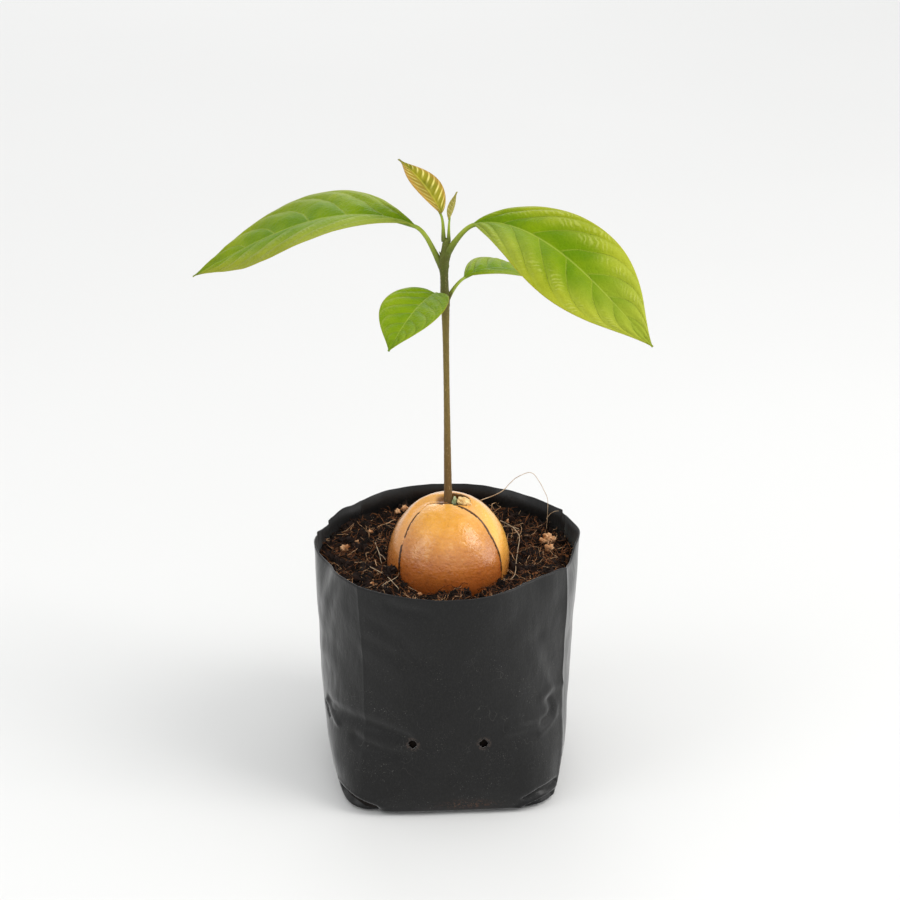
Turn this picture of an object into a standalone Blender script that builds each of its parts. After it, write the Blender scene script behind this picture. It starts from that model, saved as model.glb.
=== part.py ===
"""Builds an avocado seedling that grows from its half-buried seed in a black film grow bag, in metres."""

from math import atan2, cos, exp, hypot, pi, radians, sin

import bmesh
import bpy
from mathutils import Matrix, Vector, noise

# Clearance between pieces that touch, and the distance within which a tube's loose caps are welded
GAP = 0.0003
WELD = 0.00002

# Grow bag: a film tube with a square folded base and a round cut mouth
BAG_HEIGHT = 0.0945
BASE_HALF = 0.0410
BASE_DEEPER = 0.0035
FOOT_FLARE = 0.0052
MOUTH_FLARE = 0.0046
BASE_SQUARENESS = 5.5
BASE_TURN = radians(3.5)
BASE_SHIFT = -0.0012
BASE_EDGE = 0.0024
FILM = 0.0006
BAG_SIDES = 60
WALL_LEVELS = (0.007, 0.013, 0.022, 0.035, 0.050, 0.065, 0.077, 0.086)
MIX_LEVELS = (0.007, 0.013, 0.022, 0.035, 0.050, 0.065, 0.077)

# Rim of the bag: dips of the cut edge as (direction, depth, width in degrees), and its higher back
RIM_DIPS = ((-14, 0.0034, 12), (-163, 0.0020, 14), (177, 0.0026, 4), (163, 0.0034, 5), (148, 0.0010, 5),
            (133, 0.0014, 5))
RIM_BACK_RISE = 0.0010
FLAT_DIRECTION = -47
FLAT_DEPTH = 0.0045
FLAT_WIDTH = 21

# Gusset folds that run down the bag, as directions in degrees
FOLDS = (-132.5, -25, 132.5, 25)
FOLD_RIDGE = 0.0007
FOLD_WIDTH = 4

# Drainage holes, two through the front panel and two through the back
HOLE_RADIUS = 0.0019
HOLE_HEIGHT = 0.0322
HOLE_SPREAD = 0.0133
HOLE_MIDDLE = 0.0005
DRILL_LENGTH = 0.012

# Potting mix
MIX_LEVEL = 0.0842
MIX_BANK = 0.0035
MIX_LUMP = 0.0008
MIX_LUMP_SIZE = 0.011
MIX_EDGE_DROP = 0.0015
MIX_SIDES = 40
MIX_RINGS = 6

# Seed: an egg split by a leaning crack, its rear half standing higher
SEED_X = 0.0005
SEED_LEVEL = 0.0855
SEED_RADIUS = 0.0235
SEED_BELOW = 0.0245
SEED_FRONT_TOP = 0.0253
SEED_REAR_TOP = 0.0274
CRACK_WIDTH = 0.0004
CRACK_LEAN = radians(24)
CRACK_TURN = radians(4)
CRACK_POINT = (0.0, -0.0022, 0.1105)
HOLLOW_SIZE = (0.0080, 0.0036, 0.0070)
HOLLOW_CENTRE = (0.0006, 0.0003, 0.1110)
CRACK_BLOCK = 0.2

# Stem stations from the flat cut in the seed's hollow to the crown: offset to the right, height, diameter
STEM_STATIONS = (
    (0.0006, 0.1055, 0.0036),
    (0.0004, 0.1105, 0.0032),
    (0.0002, 0.1260, 0.0028),
    (-0.0001, 0.1520, 0.0023),
    (-0.0004, 0.1750, 0.0024),
    (-0.0006, 0.1880, 0.0031),
    (-0.0008, 0.1930, 0.0033),
    (-0.0010, 0.2000, 0.0030),
    (-0.0011, 0.2055, 0.0038),
    (-0.0004, 0.2100, 0.0036),
    (-0.0002, 0.2135, 0.0028),
)
STEM_SIDES_RESOLUTION = 3
STEM_RINGS = 34

# Leaves: where each blade starts, which way its midrib runs, and the form of its blade.
# The midrib's slope eases from rise to droop, its heading turns by sweep, and its blade rolls and twists.
LEAVES = {
    "left_leaf": dict(
        joint=(-0.0011, 0, 0.2032), lift=56, foot=(-0.0116, 0.0050, 0.2187),
        heading=148.3, sweep=5.5, rise=10, droop=-33, ease=2.28, roll=-3.3, twist=-31.4,
        length=0.1067, width=0.0419, fold=9.5, curl=-8, wide=0.962, full=1.10, point=1.20,
        stalk=(0.0021, 0.0017), rows=22, columns=6,
    ),
    "right_leaf": dict(
        joint=(-0.0004, 0, 0.2090), lift=58, foot=(0.0096, -0.0060, 0.2228),
        heading=-39.2, sweep=2, rise=20.5, droop=-37.5, ease=2.3, roll=28.5, twist=-3.4,
        length=0.0861, width=0.0356, fold=9.5, curl=-8.4, wide=1.107, full=0.72, point=1.08,
        stalk=(0.0022, 0.0018), rows=20, columns=6,
    ),
    "front_leaf": dict(
        joint=(-0.0006, 0, 0.1900), lift=30, foot=(-0.0043, -0.0080, 0.1970),
        heading=244.4, sweep=5.4, rise=3, droop=-20.5, ease=1.5, roll=-5.3, twist=0.5,
        length=0.0418, width=0.0231, fold=12.2, curl=0.5, wide=0.853, full=0.46, point=1.01,
        stalk=(0.0016, 0.0013), rows=14, columns=6,
    ),
    "rear_leaf": dict(
        joint=(-0.0007, 0, 0.1896), lift=62, foot=(0.0063, 0.0050, 0.1987),
        heading=41, sweep=-1, rise=12, droop=-37.5, ease=1.5, roll=-5, twist=19,
        length=0.0449, width=0.0251, fold=9.6, curl=-7.8, wide=0.898, full=1.03, point=1.19,
        stalk=(0.0015, 0.0012), rows=14, columns=6,
    ),
    "young_leaf": dict(
        joint=(-0.0011, 0.0002, 0.2139), lift=80, foot=(-0.0020, 0.0010, 0.2242),
        heading=145, sweep=-22, rise=58.5, droop=11.5, ease=1.14, roll=7.3, twist=-12,
        length=0.0282, width=0.0137, fold=12, curl=0, wide=0.696, full=0.94, point=1.50,
        stalk=(0.0012, 0.0010), rows=12, columns=4,
    ),
    "bud_leaf": dict(
        joint=(0.0006, 0, 0.2139), lift=88, foot=(0.0007, 0, 0.2222),
        heading=-48.5, sweep=4, rise=79.5, droop=60, ease=1, roll=-6.5, twist=4.5,
        length=0.0119, width=0.0034, fold=10, curl=-5, wide=0.873, full=0.88, point=1.21,
        stalk=(0.0010, 0.0008), rows=8, columns=4,
    ),
}
TOP_LEAVES = ("young_leaf", "bud_leaf")
# Blade thickness and midrib depth are shares of the blade's length, the midrib's tip one of its own width
BLADE_THICKNESS = 0.0115
MIDRIB_DEPTH = 0.0035
MIDRIB_REACH = 0.93
MIDRIB_TIP = 0.35
NARROWEST = 0.0004
STALK_RINGS = 9
STALK_END_PULL = 0.16

# Loose fine roots. Those on the mix are drawn in plan and lie on it, the arching one stands clear
ROOT_DIAMETER = 0.0005
ROOTS_ON_MIX = {
    "right_root": ((0.0208, 0.0325), (0.0255, 0.0268), (0.0279, 0.0208), (0.0278, 0.0115), (0.0268, 0.0030),
                   (0.0258, -0.0120), (0.0240, -0.0175)),
    "left_root": ((-0.0293, -0.0094), (-0.0242, -0.0146), (-0.0212, -0.0206), (-0.0180, -0.0290)),
    "side_root": ((-0.0280, 0.0115), (-0.0265, 0.0057), (-0.0258, 0.0008), (-0.0250, -0.0050)),
}
ARCH_ROOT = (
    (0.0060, 0.0290, 0.0880), (0.0090, 0.0240, 0.0970), (0.0124, 0.0200, 0.1016), (0.0166, 0.0207, 0.1028),
    (0.0213, 0.0214, 0.1053), (0.0240, 0.0220, 0.1080), (0.0275, 0.0228, 0.1106), (0.0322, 0.0236, 0.1120),
    (0.0358, 0.0244, 0.1078), (0.0390, 0.0250, 0.1012), (0.0394, 0.0254, 0.0955), (0.0390, 0.0250, 0.0900),
)
ROOT_RINGS = 12


def clear_scene():
    for old in list(bpy.data.objects):
        bpy.data.objects.remove(old, do_unlink=True)


def new_collection(name):
    collection = bpy.data.collections.new(name)
    bpy.context.scene.collection.children.link(collection)
    return collection


def finish(name, colour, roughness):
    """A plain material in the sRGB colour given as three values from 0 to 255."""
    material = bpy.data.materials.new(name)
    material.use_nodes = True
    shader = material.node_tree.nodes["Principled BSDF"]
    linear = [(c / 255 / 12.92) if c < 11 else ((c / 255 + 0.055) / 1.055) ** 2.4 for c in colour]
    shader.inputs["Base Color"].default_value = (*linear, 1)
    shader.inputs["Roughness"].default_value = roughness
    shader.inputs["Metallic"].default_value = 0
    return material


def link_mesh(name, bm, collection, material=None):
    """Puts a finished bmesh in the scene as one smooth-shaded object."""
    mesh = bpy.data.meshes.new(name)
    bm.to_mesh(mesh)
    bm.free()
    mesh.shade_smooth()
    piece = bpy.data.objects.new(name, mesh)
    collection.objects.link(piece)
    if material:
        mesh.materials.append(material)
    return piece


def applied(piece):
    """Replaces the object's mesh by its evaluated one and removes its modifiers."""
    graph = bpy.context.evaluated_depsgraph_get()
    graph.update()
    mesh = bpy.data.meshes.new_from_object(piece.evaluated_get(graph))
    piece.modifiers.clear()
    old = piece.data
    piece.data = mesh
    bpy.data.meshes.remove(old)
    return piece


def boolean(piece, operation, other):
    """Cuts or joins the piece with one object, or with a whole collection."""
    cut = piece.modifiers.new(operation.lower(), "BOOLEAN")
    cut.operation = operation
    cut.solver = "EXACT"
    if isinstance(other, bpy.types.Collection):
        cut.operand_type = "COLLECTION"
        cut.collection = other
    else:
        cut.object = other


def as_cutter(piece):
    piece.hide_render = True
    piece.display_type = "WIRE"
    return piece


def catmull(points, count):
    """Count points along a smooth curve that passes through the given ones."""
    points = [Vector(p) for p in points]
    ends = [2 * points[0] - points[1]] + points + [2 * points[-1] - points[-2]]
    smooth = []
    for i in range(count):
        place = i / (count - 1) * (len(points) - 1)
        k = min(int(place), len(points) - 2)
        t = place - k
        a, b, c, d = ends[k:k + 4]
        smooth.append(0.5 * (2 * b + (c - a) * t + (2 * a - 5 * b + 4 * c - d) * t ** 2
                             + (3 * b - a - 3 * c + d) * t ** 3))
    return smooth


def tube(name, path, diameters, resolution, collection, material=None):
    """A tapering round limb with flat ends, as a welded mesh."""
    curve = bpy.data.curves.new(name, "CURVE")
    curve.dimensions = "3D"
    curve.bevel_depth = 1
    curve.bevel_resolution = resolution
    curve.use_fill_caps = True
    spline = curve.splines.new("POLY")
    spline.points.add(len(path) - 1)
    for point, place, diameter in zip(spline.points, path, diameters):
        point.co = (*place, 1)
        point.radius = diameter / 2
    guide = bpy.data.objects.new(name + "_path", curve)
    collection.objects.link(guide)
    graph = bpy.context.evaluated_depsgraph_get()
    graph.update()
    bm = bmesh.new()
    bm.from_mesh(bpy.data.meshes.new_from_object(guide.evaluated_get(graph)))
    bmesh.ops.remove_doubles(bm, verts=bm.verts, dist=WELD)
    bmesh.ops.recalc_face_normals(bm, faces=bm.faces)
    piece = link_mesh(name, bm, collection, material)
    piece.matrix_world = guide.matrix_world
    bpy.data.objects.remove(guide)
    bpy.data.curves.remove(curve)
    return piece


def bump(angle, centre, width):
    """A smooth hump of height 1 around a direction, both in degrees."""
    away = (angle - centre + 180) % 360 - 180
    return exp(-((away / width) ** 2))


def rim_height(angle):
    dips = sum(depth * bump(angle, where, width) for where, depth, width in RIM_DIPS)
    return BAG_HEIGHT + RIM_BACK_RISE * sin(radians(angle)) - dips


def bag_radius(angle, level, inset):
    """How far the bag's wall lies from the axis, in a direction and at a level from 0 to 1."""
    wide = BASE_HALF + FOOT_FLARE * (1 - (1 - level) ** 8) + MOUTH_FLARE * level - inset
    deep = wide + BASE_DEEPER * (1 - level) ** 3
    power = 2 + (BASE_SQUARENESS - 2) * (1 - level) ** 5
    turned = radians(angle) - BASE_TURN
    section = ((abs(cos(turned)) / wide) ** power + (abs(sin(turned)) / deep) ** power) ** (-1 / power)
    ridge = FOLD_RIDGE * sum(bump(angle, fold, FOLD_WIDTH) for fold in FOLDS)
    flat = FLAT_DEPTH * bump(angle, FLAT_DIRECTION, FLAT_WIDTH) * level ** 3
    return section + ridge - flat


def bag_ring(bm, sides, height, inset, rim=False):
    """One loop of the bag's wall. A rim loop follows the dips of the cut edge."""
    loop = []
    for i in range(sides):
        angle = 360 * i / sides - 180
        z = rim_height(angle) if rim else height
        level = min(z / BAG_HEIGHT, 1)
        radius = bag_radius(angle, level, inset)
        x = radius * cos(radians(angle)) + BASE_SHIFT * (1 - level)
        loop.append(bm.verts.new((x, radius * sin(radians(angle)), z)))
    return loop


def skin(bm, loops):
    """Joins each loop to the next with a band of faces."""
    for low, high in zip(loops, loops[1:]):
        for i, vertex in enumerate(low):
            j = (i + 1) % len(low)
            bm.faces.new((vertex, low[j], high[j], high[i]))


def make_bag(collection, cutters):
    bm = bmesh.new()
    edge = [BASE_EDGE * (1 - share) for share in (0, sin(pi / 4), 1)]
    loops = [bag_ring(bm, BAG_SIDES, height, inset) for height, inset in zip(reversed(edge), edge)]
    loops += [bag_ring(bm, BAG_SIDES, height, 0) for height in WALL_LEVELS]
    loops.append(bag_ring(bm, BAG_SIDES, 0, 0, rim=True))
    skin(bm, loops)
    bm.faces.new(reversed(loops[0]))
    bag = link_mesh("grow_bag", bm, collection, finish("black_film", (46, 46, 46), 0.38))
    wall = bag.modifiers.new("film", "SOLIDIFY")
    wall.thickness = FILM
    wall.offset = -1
    wall.use_even_offset = True
    for side in (-1, 1):
        for spread in (-HOLE_SPREAD, HOLE_SPREAD):
            drill = bmesh.new()
            bmesh.ops.create_cone(drill, cap_ends=True, segments=16, radius1=HOLE_RADIUS,
                                  radius2=HOLE_RADIUS, depth=DRILL_LENGTH)
            middle = (HOLE_MIDDLE + spread, side * (BASE_HALF + FOOT_FLARE), HOLE_HEIGHT)
            place = Matrix.Translation(middle) @ Matrix.Rotation(pi / 2, 4, "X")
            drill.transform(place)
            boolean(bag, "DIFFERENCE", as_cutter(link_mesh("drainage_drill", drill, cutters)))
    return bag


def mix_height(x, y):
    """Height of the potting mix: dished towards the seed, banked up at the back, with lumps."""
    out = hypot(x, y) / (BASE_HALF + FOOT_FLARE)
    back = 0.75 + 0.25 * sin(atan2(y, x))
    lump = noise.noise(Vector((x, y, 0)) / MIX_LUMP_SIZE)
    return MIX_LEVEL + MIX_BANK * out ** 2 * back + MIX_LUMP * lump


def seed_shape(name, top, grow, collection, material=None):
    """The seed as an egg, grown by a clearance where it's used as a cutter."""
    bm = bmesh.new()
    bmesh.ops.create_uvsphere(bm, u_segments=28, v_segments=18, radius=1)
    for vertex in bm.verts:
        tall = (top if vertex.co.z > 0 else SEED_BELOW) + grow
        vertex.co = Vector((vertex.co.x * (SEED_RADIUS + grow) + SEED_X, vertex.co.y * (SEED_RADIUS + grow),
                            vertex.co.z * tall + SEED_LEVEL))
    return link_mesh(name, bm, collection, material)


def make_mix(collection, cutters):
    bm = bmesh.new()
    inset = FILM + GAP
    levels = [(inset + GAP, BASE_EDGE + 2 * inset), (BASE_EDGE + inset, inset + GAP)]
    levels += [(height, inset + GAP / 2) for height in MIX_LEVELS]
    loops = [bag_ring(bm, MIX_SIDES, height, by) for height, by in levels]
    edge = bag_ring(bm, MIX_SIDES, MIX_LEVEL, inset + GAP / 2)
    for step in range(MIX_RINGS):
        share = 1 - step / MIX_RINGS
        loop = []
        for rim in edge:
            x, y = rim.co.x * share, rim.co.y * share
            drop = MIX_EDGE_DROP if step == 0 else 0
            loop.append(bm.verts.new((x, y, mix_height(x, y) - drop)))
        loops.append(loop)
    for rim in edge:
        bm.verts.remove(rim)
    skin(bm, loops)
    bm.faces.new(reversed(loops[0]))
    centre = bm.verts.new((0, 0, mix_height(0, 0)))
    last = loops[-1]
    for i, vertex in enumerate(last):
        bm.faces.new((vertex, last[(i + 1) % len(last)], centre))
    mix = link_mesh("potting_mix", bm, collection, finish("potting_mix", (56, 38, 29), 0.95))
    pocket = seed_shape("seed_pocket", SEED_REAR_TOP, GAP, cutters)
    boolean(mix, "DIFFERENCE", as_cutter(pocket))
    return mix


def crack_block(name, side, cutters):
    """A large block whose face is the crack's plane, standing on the side that is cut away."""
    bm = bmesh.new()
    bmesh.ops.create_cube(bm, size=CRACK_BLOCK)
    shift = side * (CRACK_BLOCK - CRACK_WIDTH) / 2
    place = (Matrix.Translation(CRACK_POINT) @ Matrix.Rotation(CRACK_TURN, 4, "Z")
             @ Matrix.Rotation(-CRACK_LEAN, 4, "X") @ Matrix.Translation((0, shift, 0)))
    bm.transform(place)
    return as_cutter(link_mesh(name, bm, cutters))


def make_seed(collection, cutters):
    skin_finish = finish("seed_coat", (214, 148, 74), 0.35)
    front = seed_shape("seed_front_half", SEED_FRONT_TOP, 0, collection, skin_finish)
    boolean(front, "DIFFERENCE", crack_block("behind_crack", 1, cutters))
    rear = seed_shape("seed_rear_half", SEED_REAR_TOP, 0, collection, skin_finish)
    boolean(rear, "DIFFERENCE", crack_block("before_crack", -1, cutters))
    bm = bmesh.new()
    bmesh.ops.create_uvsphere(bm, u_segments=20, v_segments=14, radius=1)
    bm.transform(Matrix.Translation(HOLLOW_CENTRE) @ Matrix.Diagonal((*HOLLOW_SIZE, 1)))
    boolean(rear, "DIFFERENCE", as_cutter(link_mesh("shoot_hollow", bm, cutters)))


def make_stem(collection, cutters):
    """The stem, and a copy grown by the clearance that trims the stalks."""
    stations = catmull(STEM_STATIONS, STEM_RINGS)
    path = [Vector((x, 0, z)) for x, z, _ in stations]
    diameters = [d for _, _, d in stations]
    tube("stem", path, diameters, STEM_SIDES_RESOLUTION, collection, finish("stem_bark", (116, 98, 62), 0.55))
    wider = [d + 2 * GAP for d in diameters]
    return as_cutter(tube("stem_clearance", path, wider, STEM_SIDES_RESOLUTION, cutters))


def midrib(leaf, count):
    """Points, directions and headings along a leaf's midrib."""
    places = [Vector(leaf["foot"])]
    directions = []
    headings = []
    for i in range(count):
        s = i / (count - 1)
        heading = radians(leaf["heading"] + leaf["sweep"] * s)
        slope = radians(leaf["droop"] + (leaf["rise"] - leaf["droop"]) * (1 - s) ** leaf["ease"])
        directions.append(Vector((cos(slope) * cos(heading), cos(slope) * sin(heading), sin(slope))))
        headings.append(heading)
        if i:
            step = (directions[-1] + directions[-2]) / 2 * leaf["length"] / (count - 1)
            places.append(places[-1] + step)
    return places, directions, headings


def half_width(leaf, s):
    """Half the blade's width at a share s of its length."""
    form = sin(pi * s ** leaf["wide"]) if 0 < s < 1 else 0
    outline = max(form, 0) ** (leaf["full"] + (leaf["point"] - leaf["full"]) * s)
    return max(leaf["width"] / 2 * outline, NARROWEST)


def make_blade(name, leaf, collection, material):
    """A blade moved from a flat grid onto the leaf's curve, with its midrib joined below it."""
    rows, columns = leaf["rows"], leaf["columns"]
    places, directions, headings = midrib(leaf, rows + 1)
    bm = bmesh.new()
    bmesh.ops.create_grid(bm, x_segments=rows, y_segments=columns, size=1)
    ribs = []
    for vertex in bm.verts:
        i = round((vertex.co.x + 1) / 2 * rows)
        v = vertex.co.y
        s = i / rows
        level = Vector((-sin(headings[i]), cos(headings[i]), 0))
        up = directions[i].cross(level)
        roll = radians(leaf["roll"] + leaf["twist"] * s)
        side = cos(roll) * level + sin(roll) * up
        face = cos(roll) * up - sin(roll) * level
        rise = radians(leaf["fold"] + leaf["curl"] * abs(v))
        out = half_width(leaf, s) * v
        if abs(v) < 0.01:
            ribs.append((i, places[i] - face * leaf["length"] * MIDRIB_DEPTH))
        vertex.co = places[i] + side * out * cos(rise) + face * abs(out) * sin(rise)
    bmesh.ops.recalc_face_normals(bm, faces=bm.faces)
    blade = link_mesh(name, bm, collection, material)
    thick = blade.modifiers.new("thickness", "SOLIDIFY")
    thick.thickness = leaf["length"] * BLADE_THICKNESS
    thick.offset = 0
    ribs.sort(key=lambda rib: rib[0])
    reach = round(rows * MIDRIB_REACH)
    path = [place for _, place in ribs][:reach + 1]
    widest = leaf["stalk"][1]
    diameters = [widest * (1 + (MIDRIB_TIP - 1) * i / reach) for i in range(reach + 1)]
    joined = new_collection(name + "_joined")
    tube(name + "_midrib", path, diameters, 1, joined)
    boolean(blade, "UNION", joined)
    applied(blade)
    for piece in list(joined.objects):
        bpy.data.objects.remove(piece)
    bpy.data.collections.remove(joined)
    return blade


def make_stalk(name, leaf, stem_clearance, collection, material):
    """A stalk that leaves the stem at the joint and ends a clearance short of its blade."""
    _, directions, _ = midrib(leaf, 3)
    start = Vector(leaf["joint"])
    end = Vector(leaf["foot"]) - directions[0] * GAP
    plan = Vector((end.x - start.x, end.y - start.y, 0))
    lift = radians(leaf["lift"])
    leave = plan.normalized() * cos(lift) + Vector((0, 0, sin(lift)))
    span = (end - start).length
    handles = (start, start + leave * span / 3, end - directions[0] * span * STALK_END_PULL, end)
    path = []
    for i in range(STALK_RINGS):
        t = i / (STALK_RINGS - 1)
        weights = ((1 - t) ** 3, 3 * t * (1 - t) ** 2, 3 * t ** 2 * (1 - t), t ** 3)
        path.append(sum((w * h for w, h in zip(weights, handles)), Vector()))
    wide, narrow = leaf["stalk"]
    diameters = [wide + (narrow - wide) * i / (STALK_RINGS - 1) for i in range(STALK_RINGS)]
    stalk = tube(name, path, diameters, 2, collection, material)
    if stem_clearance:
        boolean(stalk, "DIFFERENCE", stem_clearance)
    return stalk


def make_leaves(stem_clearance, collection):
    blade_finish = finish("leaf_blade", (130, 155, 42), 0.40)
    young_finish = finish("young_leaf_blade", (160, 150, 60), 0.40)
    stalk_finish = finish("leaf_stalk", (166, 173, 97), 0.45)
    for name, leaf in LEAVES.items():
        on_top = name in TOP_LEAVES
        make_blade(name + "_blade", leaf, collection, young_finish if on_top else blade_finish)
        make_stalk(name + "_stalk", leaf, None if on_top else stem_clearance, collection, stalk_finish)


def make_roots(collection):
    root_finish = finish("fine_root", (196, 170, 130), 0.6)
    lift = GAP + ROOT_DIAMETER / 2 + MIX_LUMP / 4
    for name, plan in ROOTS_ON_MIX.items():
        flat = catmull([(x, y, 0) for x, y in plan], ROOT_RINGS)
        path = [Vector((p.x, p.y, mix_height(p.x, p.y) + lift)) for p in flat]
        tube(name, path, [ROOT_DIAMETER] * len(path), 1, collection, root_finish)
    arch = list(ARCH_ROOT)
    for end in (0, -1):
        x, y, _ = arch[end]
        arch[end] = (x, y, mix_height(x, y) + GAP)
    path = catmull(arch, 2 * ROOT_RINGS)
    tube("arching_root", path, [ROOT_DIAMETER] * len(path), 1, collection, root_finish)


def main():
    clear_scene()
    plant = new_collection("potted_avocado_seedling")
    cutters = new_collection("cutters")
    make_bag(plant, cutters)
    make_mix(plant, cutters)
    make_seed(plant, cutters)
    stem_clearance = make_stem(plant, cutters)
    make_leaves(stem_clearance, plant)
    make_roots(plant)


main()
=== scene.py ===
"""A young avocado plant in a black film grow bag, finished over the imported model, in metres."""

from math import atan2, cos, exp, hypot, pi, radians, sin

import bmesh
import bpy
import numpy as np
from mathutils import Matrix, Vector, noise


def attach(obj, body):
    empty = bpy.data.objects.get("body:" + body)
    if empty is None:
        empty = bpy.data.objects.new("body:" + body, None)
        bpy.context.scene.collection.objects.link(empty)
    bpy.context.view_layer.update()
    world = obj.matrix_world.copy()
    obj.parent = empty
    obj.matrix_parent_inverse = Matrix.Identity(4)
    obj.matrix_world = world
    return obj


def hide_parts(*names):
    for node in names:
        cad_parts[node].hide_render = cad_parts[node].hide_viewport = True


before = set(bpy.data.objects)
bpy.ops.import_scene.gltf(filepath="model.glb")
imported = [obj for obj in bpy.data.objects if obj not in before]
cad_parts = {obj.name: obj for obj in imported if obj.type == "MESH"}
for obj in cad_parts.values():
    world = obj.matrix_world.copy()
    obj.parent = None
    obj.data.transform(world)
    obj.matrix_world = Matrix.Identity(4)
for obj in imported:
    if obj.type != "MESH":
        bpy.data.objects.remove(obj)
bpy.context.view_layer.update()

# Sizes shared with the solids
GAP = 0.0003
BAG_HEIGHT = 0.0945
BASE_HALF = 0.0410
BASE_DEEPER = 0.0035
FOOT_FLARE = 0.0052
MOUTH_FLARE = 0.0046
BASE_SQUARENESS = 5.5
BASE_TURN = radians(3.5)
BASE_SHIFT = -0.0012
BASE_EDGE = 0.0024
RIM_BACK_RISE = 0.0010
FLAT_DIRECTION = -47
FLAT_DEPTH = 0.0045
FLAT_WIDTH = 21
FOLDS = (-132.5, -25, 132.5, 25)
HOLE_RADIUS = 0.0019
HOLE_HEIGHT = 0.0322
HOLE_SPREAD = 0.0133
HOLE_MIDDLE = 0.0005

MIX_LEVEL = 0.0842
MIX_BANK = 0.0035
MIX_LUMP = 0.0008
MIX_LUMP_SIZE = 0.011

SEED_X = 0.0005
SEED_LEVEL = 0.0855
SEED_RADIUS = 0.0235
SEED_BELOW = 0.0245
SEED_FRONT_TOP = 0.0253
SEED_REAR_TOP = 0.0274
CRACK_LEAN = radians(24)
CRACK_TURN = radians(4)
CRACK_POINT = (0.0, -0.0022, 0.1105)

# Sizes that differ from the solids, for finer forms

# Dips of the rim: direction, depth and width, with both angles in degrees
RIM_DIPS = ((-14, 0.0034, 12), (-163, 0.0020, 14), (135, 0.0018, 9), (158, 0.0021, 13))
# Steps of the torn rim: where, how far it drops or, below zero, rises, and over how many degrees that fades
RIM_STEPS = ((156, 0.0014, 18), (170.3, 0.0012, 12), (28, -0.0011, 10))
# Where the rim leans in or, below zero, out, how far, and over how many degrees
RIM_LEANS = ((-12, 0.0036, 12), (-158, 0.0042, 12), (9, -0.0010, 7))
FOLD_RIDGES = (0.00035, 0.0009, 0.0005, 0.0005)
FOLD_WIDTH = 2.6
HOLLOW_SIZE = (0.0047, 0.0030, 0.0060)
HOLLOW_CENTRE = (0.0039, 0.0004, 0.1108)
STALK_END_PULL = 0.30

# Stem: x, z and diameter at each station, and the two that round its top off
STEM_STATIONS = (
    (0.0006, 0.1055, 0.0036), (0.0004, 0.1105, 0.0032), (0.0002, 0.1260, 0.0028),
    (-0.0001, 0.1520, 0.0023), (-0.0004, 0.1750, 0.0024), (-0.0006, 0.1880, 0.0031),
    (-0.0008, 0.1930, 0.0033), (-0.0010, 0.2000, 0.0030), (-0.0011, 0.2055, 0.0038),
    (-0.0004, 0.2100, 0.0036), (-0.0002, 0.2135, 0.0028))
STEM_TOP = ((-0.0002, 0.2146, 0.0017), (-0.0002, 0.2152, 0.0003))

# Leaves: angles in degrees, lengths in metres; veins is how many pairs of side veins a blade has.
# The blades' angles and forms were fitted to their outlines in the photo. The lift of the two large ones is
# lower than in the solids. olive and the pair after it hold the share on each side of the midrib: olive for
# an olive-brown edge, the other for a painted sheen near the base.
LEAVES = {
    "left_leaf": dict(
        joint=(-0.0011, 0, 0.2032), lift=51, foot=(-0.0116, 0.0050, 0.2187), heading=148.3, sweep=5.5,
        rise=10, droop=-33, ease=2.28, roll=-3.3, twist=-31.4, length=0.1067, width=0.0419, fold=9.5,
        curl=-8, wide=0.962, full=1.10, point=1.20, stalk=(0.0021, 0.0017), veins=6.2, starts=(-0.15, 0.25),
        fresh=0.33, olive=(0.35, 0.1), painted_sheen=(0.5, 0.0)),
    "right_leaf": dict(
        joint=(-0.0004, 0, 0.2090), lift=54, foot=(0.0096, -0.0060, 0.2228), heading=-39.2, sweep=2,
        rise=20.5, droop=-37.5, ease=2.3, roll=28.5, twist=-3.4, length=0.0861, width=0.0356, fold=9.5,
        curl=-8.4, wide=1.107, full=0.72, point=1.08, stalk=(0.0022, 0.0018), veins=6.6, starts=(0.0, -0.28),
        fresh=0.9, olive=(0.0, 0.08), painted_sheen=(0.0, 0.32)),
    "front_leaf": dict(
        joint=(-0.0006, 0, 0.1900), lift=30, foot=(-0.0043, -0.0080, 0.1970), heading=244.4, sweep=5.4,
        rise=3, droop=-20.5, ease=1.5, roll=-5.3, twist=0.5, length=0.0418, width=0.0231, fold=12.2, curl=0.5,
        wide=0.853, full=0.46, point=1.01, stalk=(0.0016, 0.0013), veins=6.4, fresh=0.1),
    "rear_leaf": dict(
        joint=(-0.0007, 0, 0.1896), lift=62, foot=(0.0063, 0.0050, 0.1987), heading=41, sweep=-1, rise=12,
        droop=-37.5, ease=1.5, roll=-5, twist=19, length=0.0449, width=0.0251, fold=9.6, curl=-7.8,
        wide=0.898, full=1.03, point=1.19, stalk=(0.0015, 0.0012), veins=6.2, fresh=0.3),
    "young_leaf": dict(
        joint=(-0.0011, 0.0002, 0.2139), lift=80, foot=(-0.0020, 0.0010, 0.2242), heading=145, sweep=-22,
        rise=58.5, droop=11.5, ease=1.14, roll=7.3, twist=-12, length=0.0282, width=0.0137, fold=12, curl=0,
        wide=0.696, full=0.94, point=1.50, stalk=(0.0012, 0.0010), veins=10.5, slant=(0.11, 0.05, 0.02)),
    "bud_leaf": dict(
        joint=(0.0006, 0, 0.2139), lift=88, foot=(0.0007, 0, 0.2222), heading=-48.5, sweep=4, rise=79.5,
        droop=60, ease=1, roll=-6.5, twist=4.5, length=0.0119, width=0.0034, fold=10, curl=-5,
        wide=0.873, full=0.88, point=1.21, stalk=(0.0010, 0.0008), veins=6.5, slant=(0.11, 0.05, 0.02)),
}
YOUNG_LEAVES = ("young_leaf", "bud_leaf")
MIDRIB_DEPTH = 0.0035
MIDRIB_REACH = 0.93
MIDRIB_TIP = 0.35
NARROWEST = 0.0004

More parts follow.
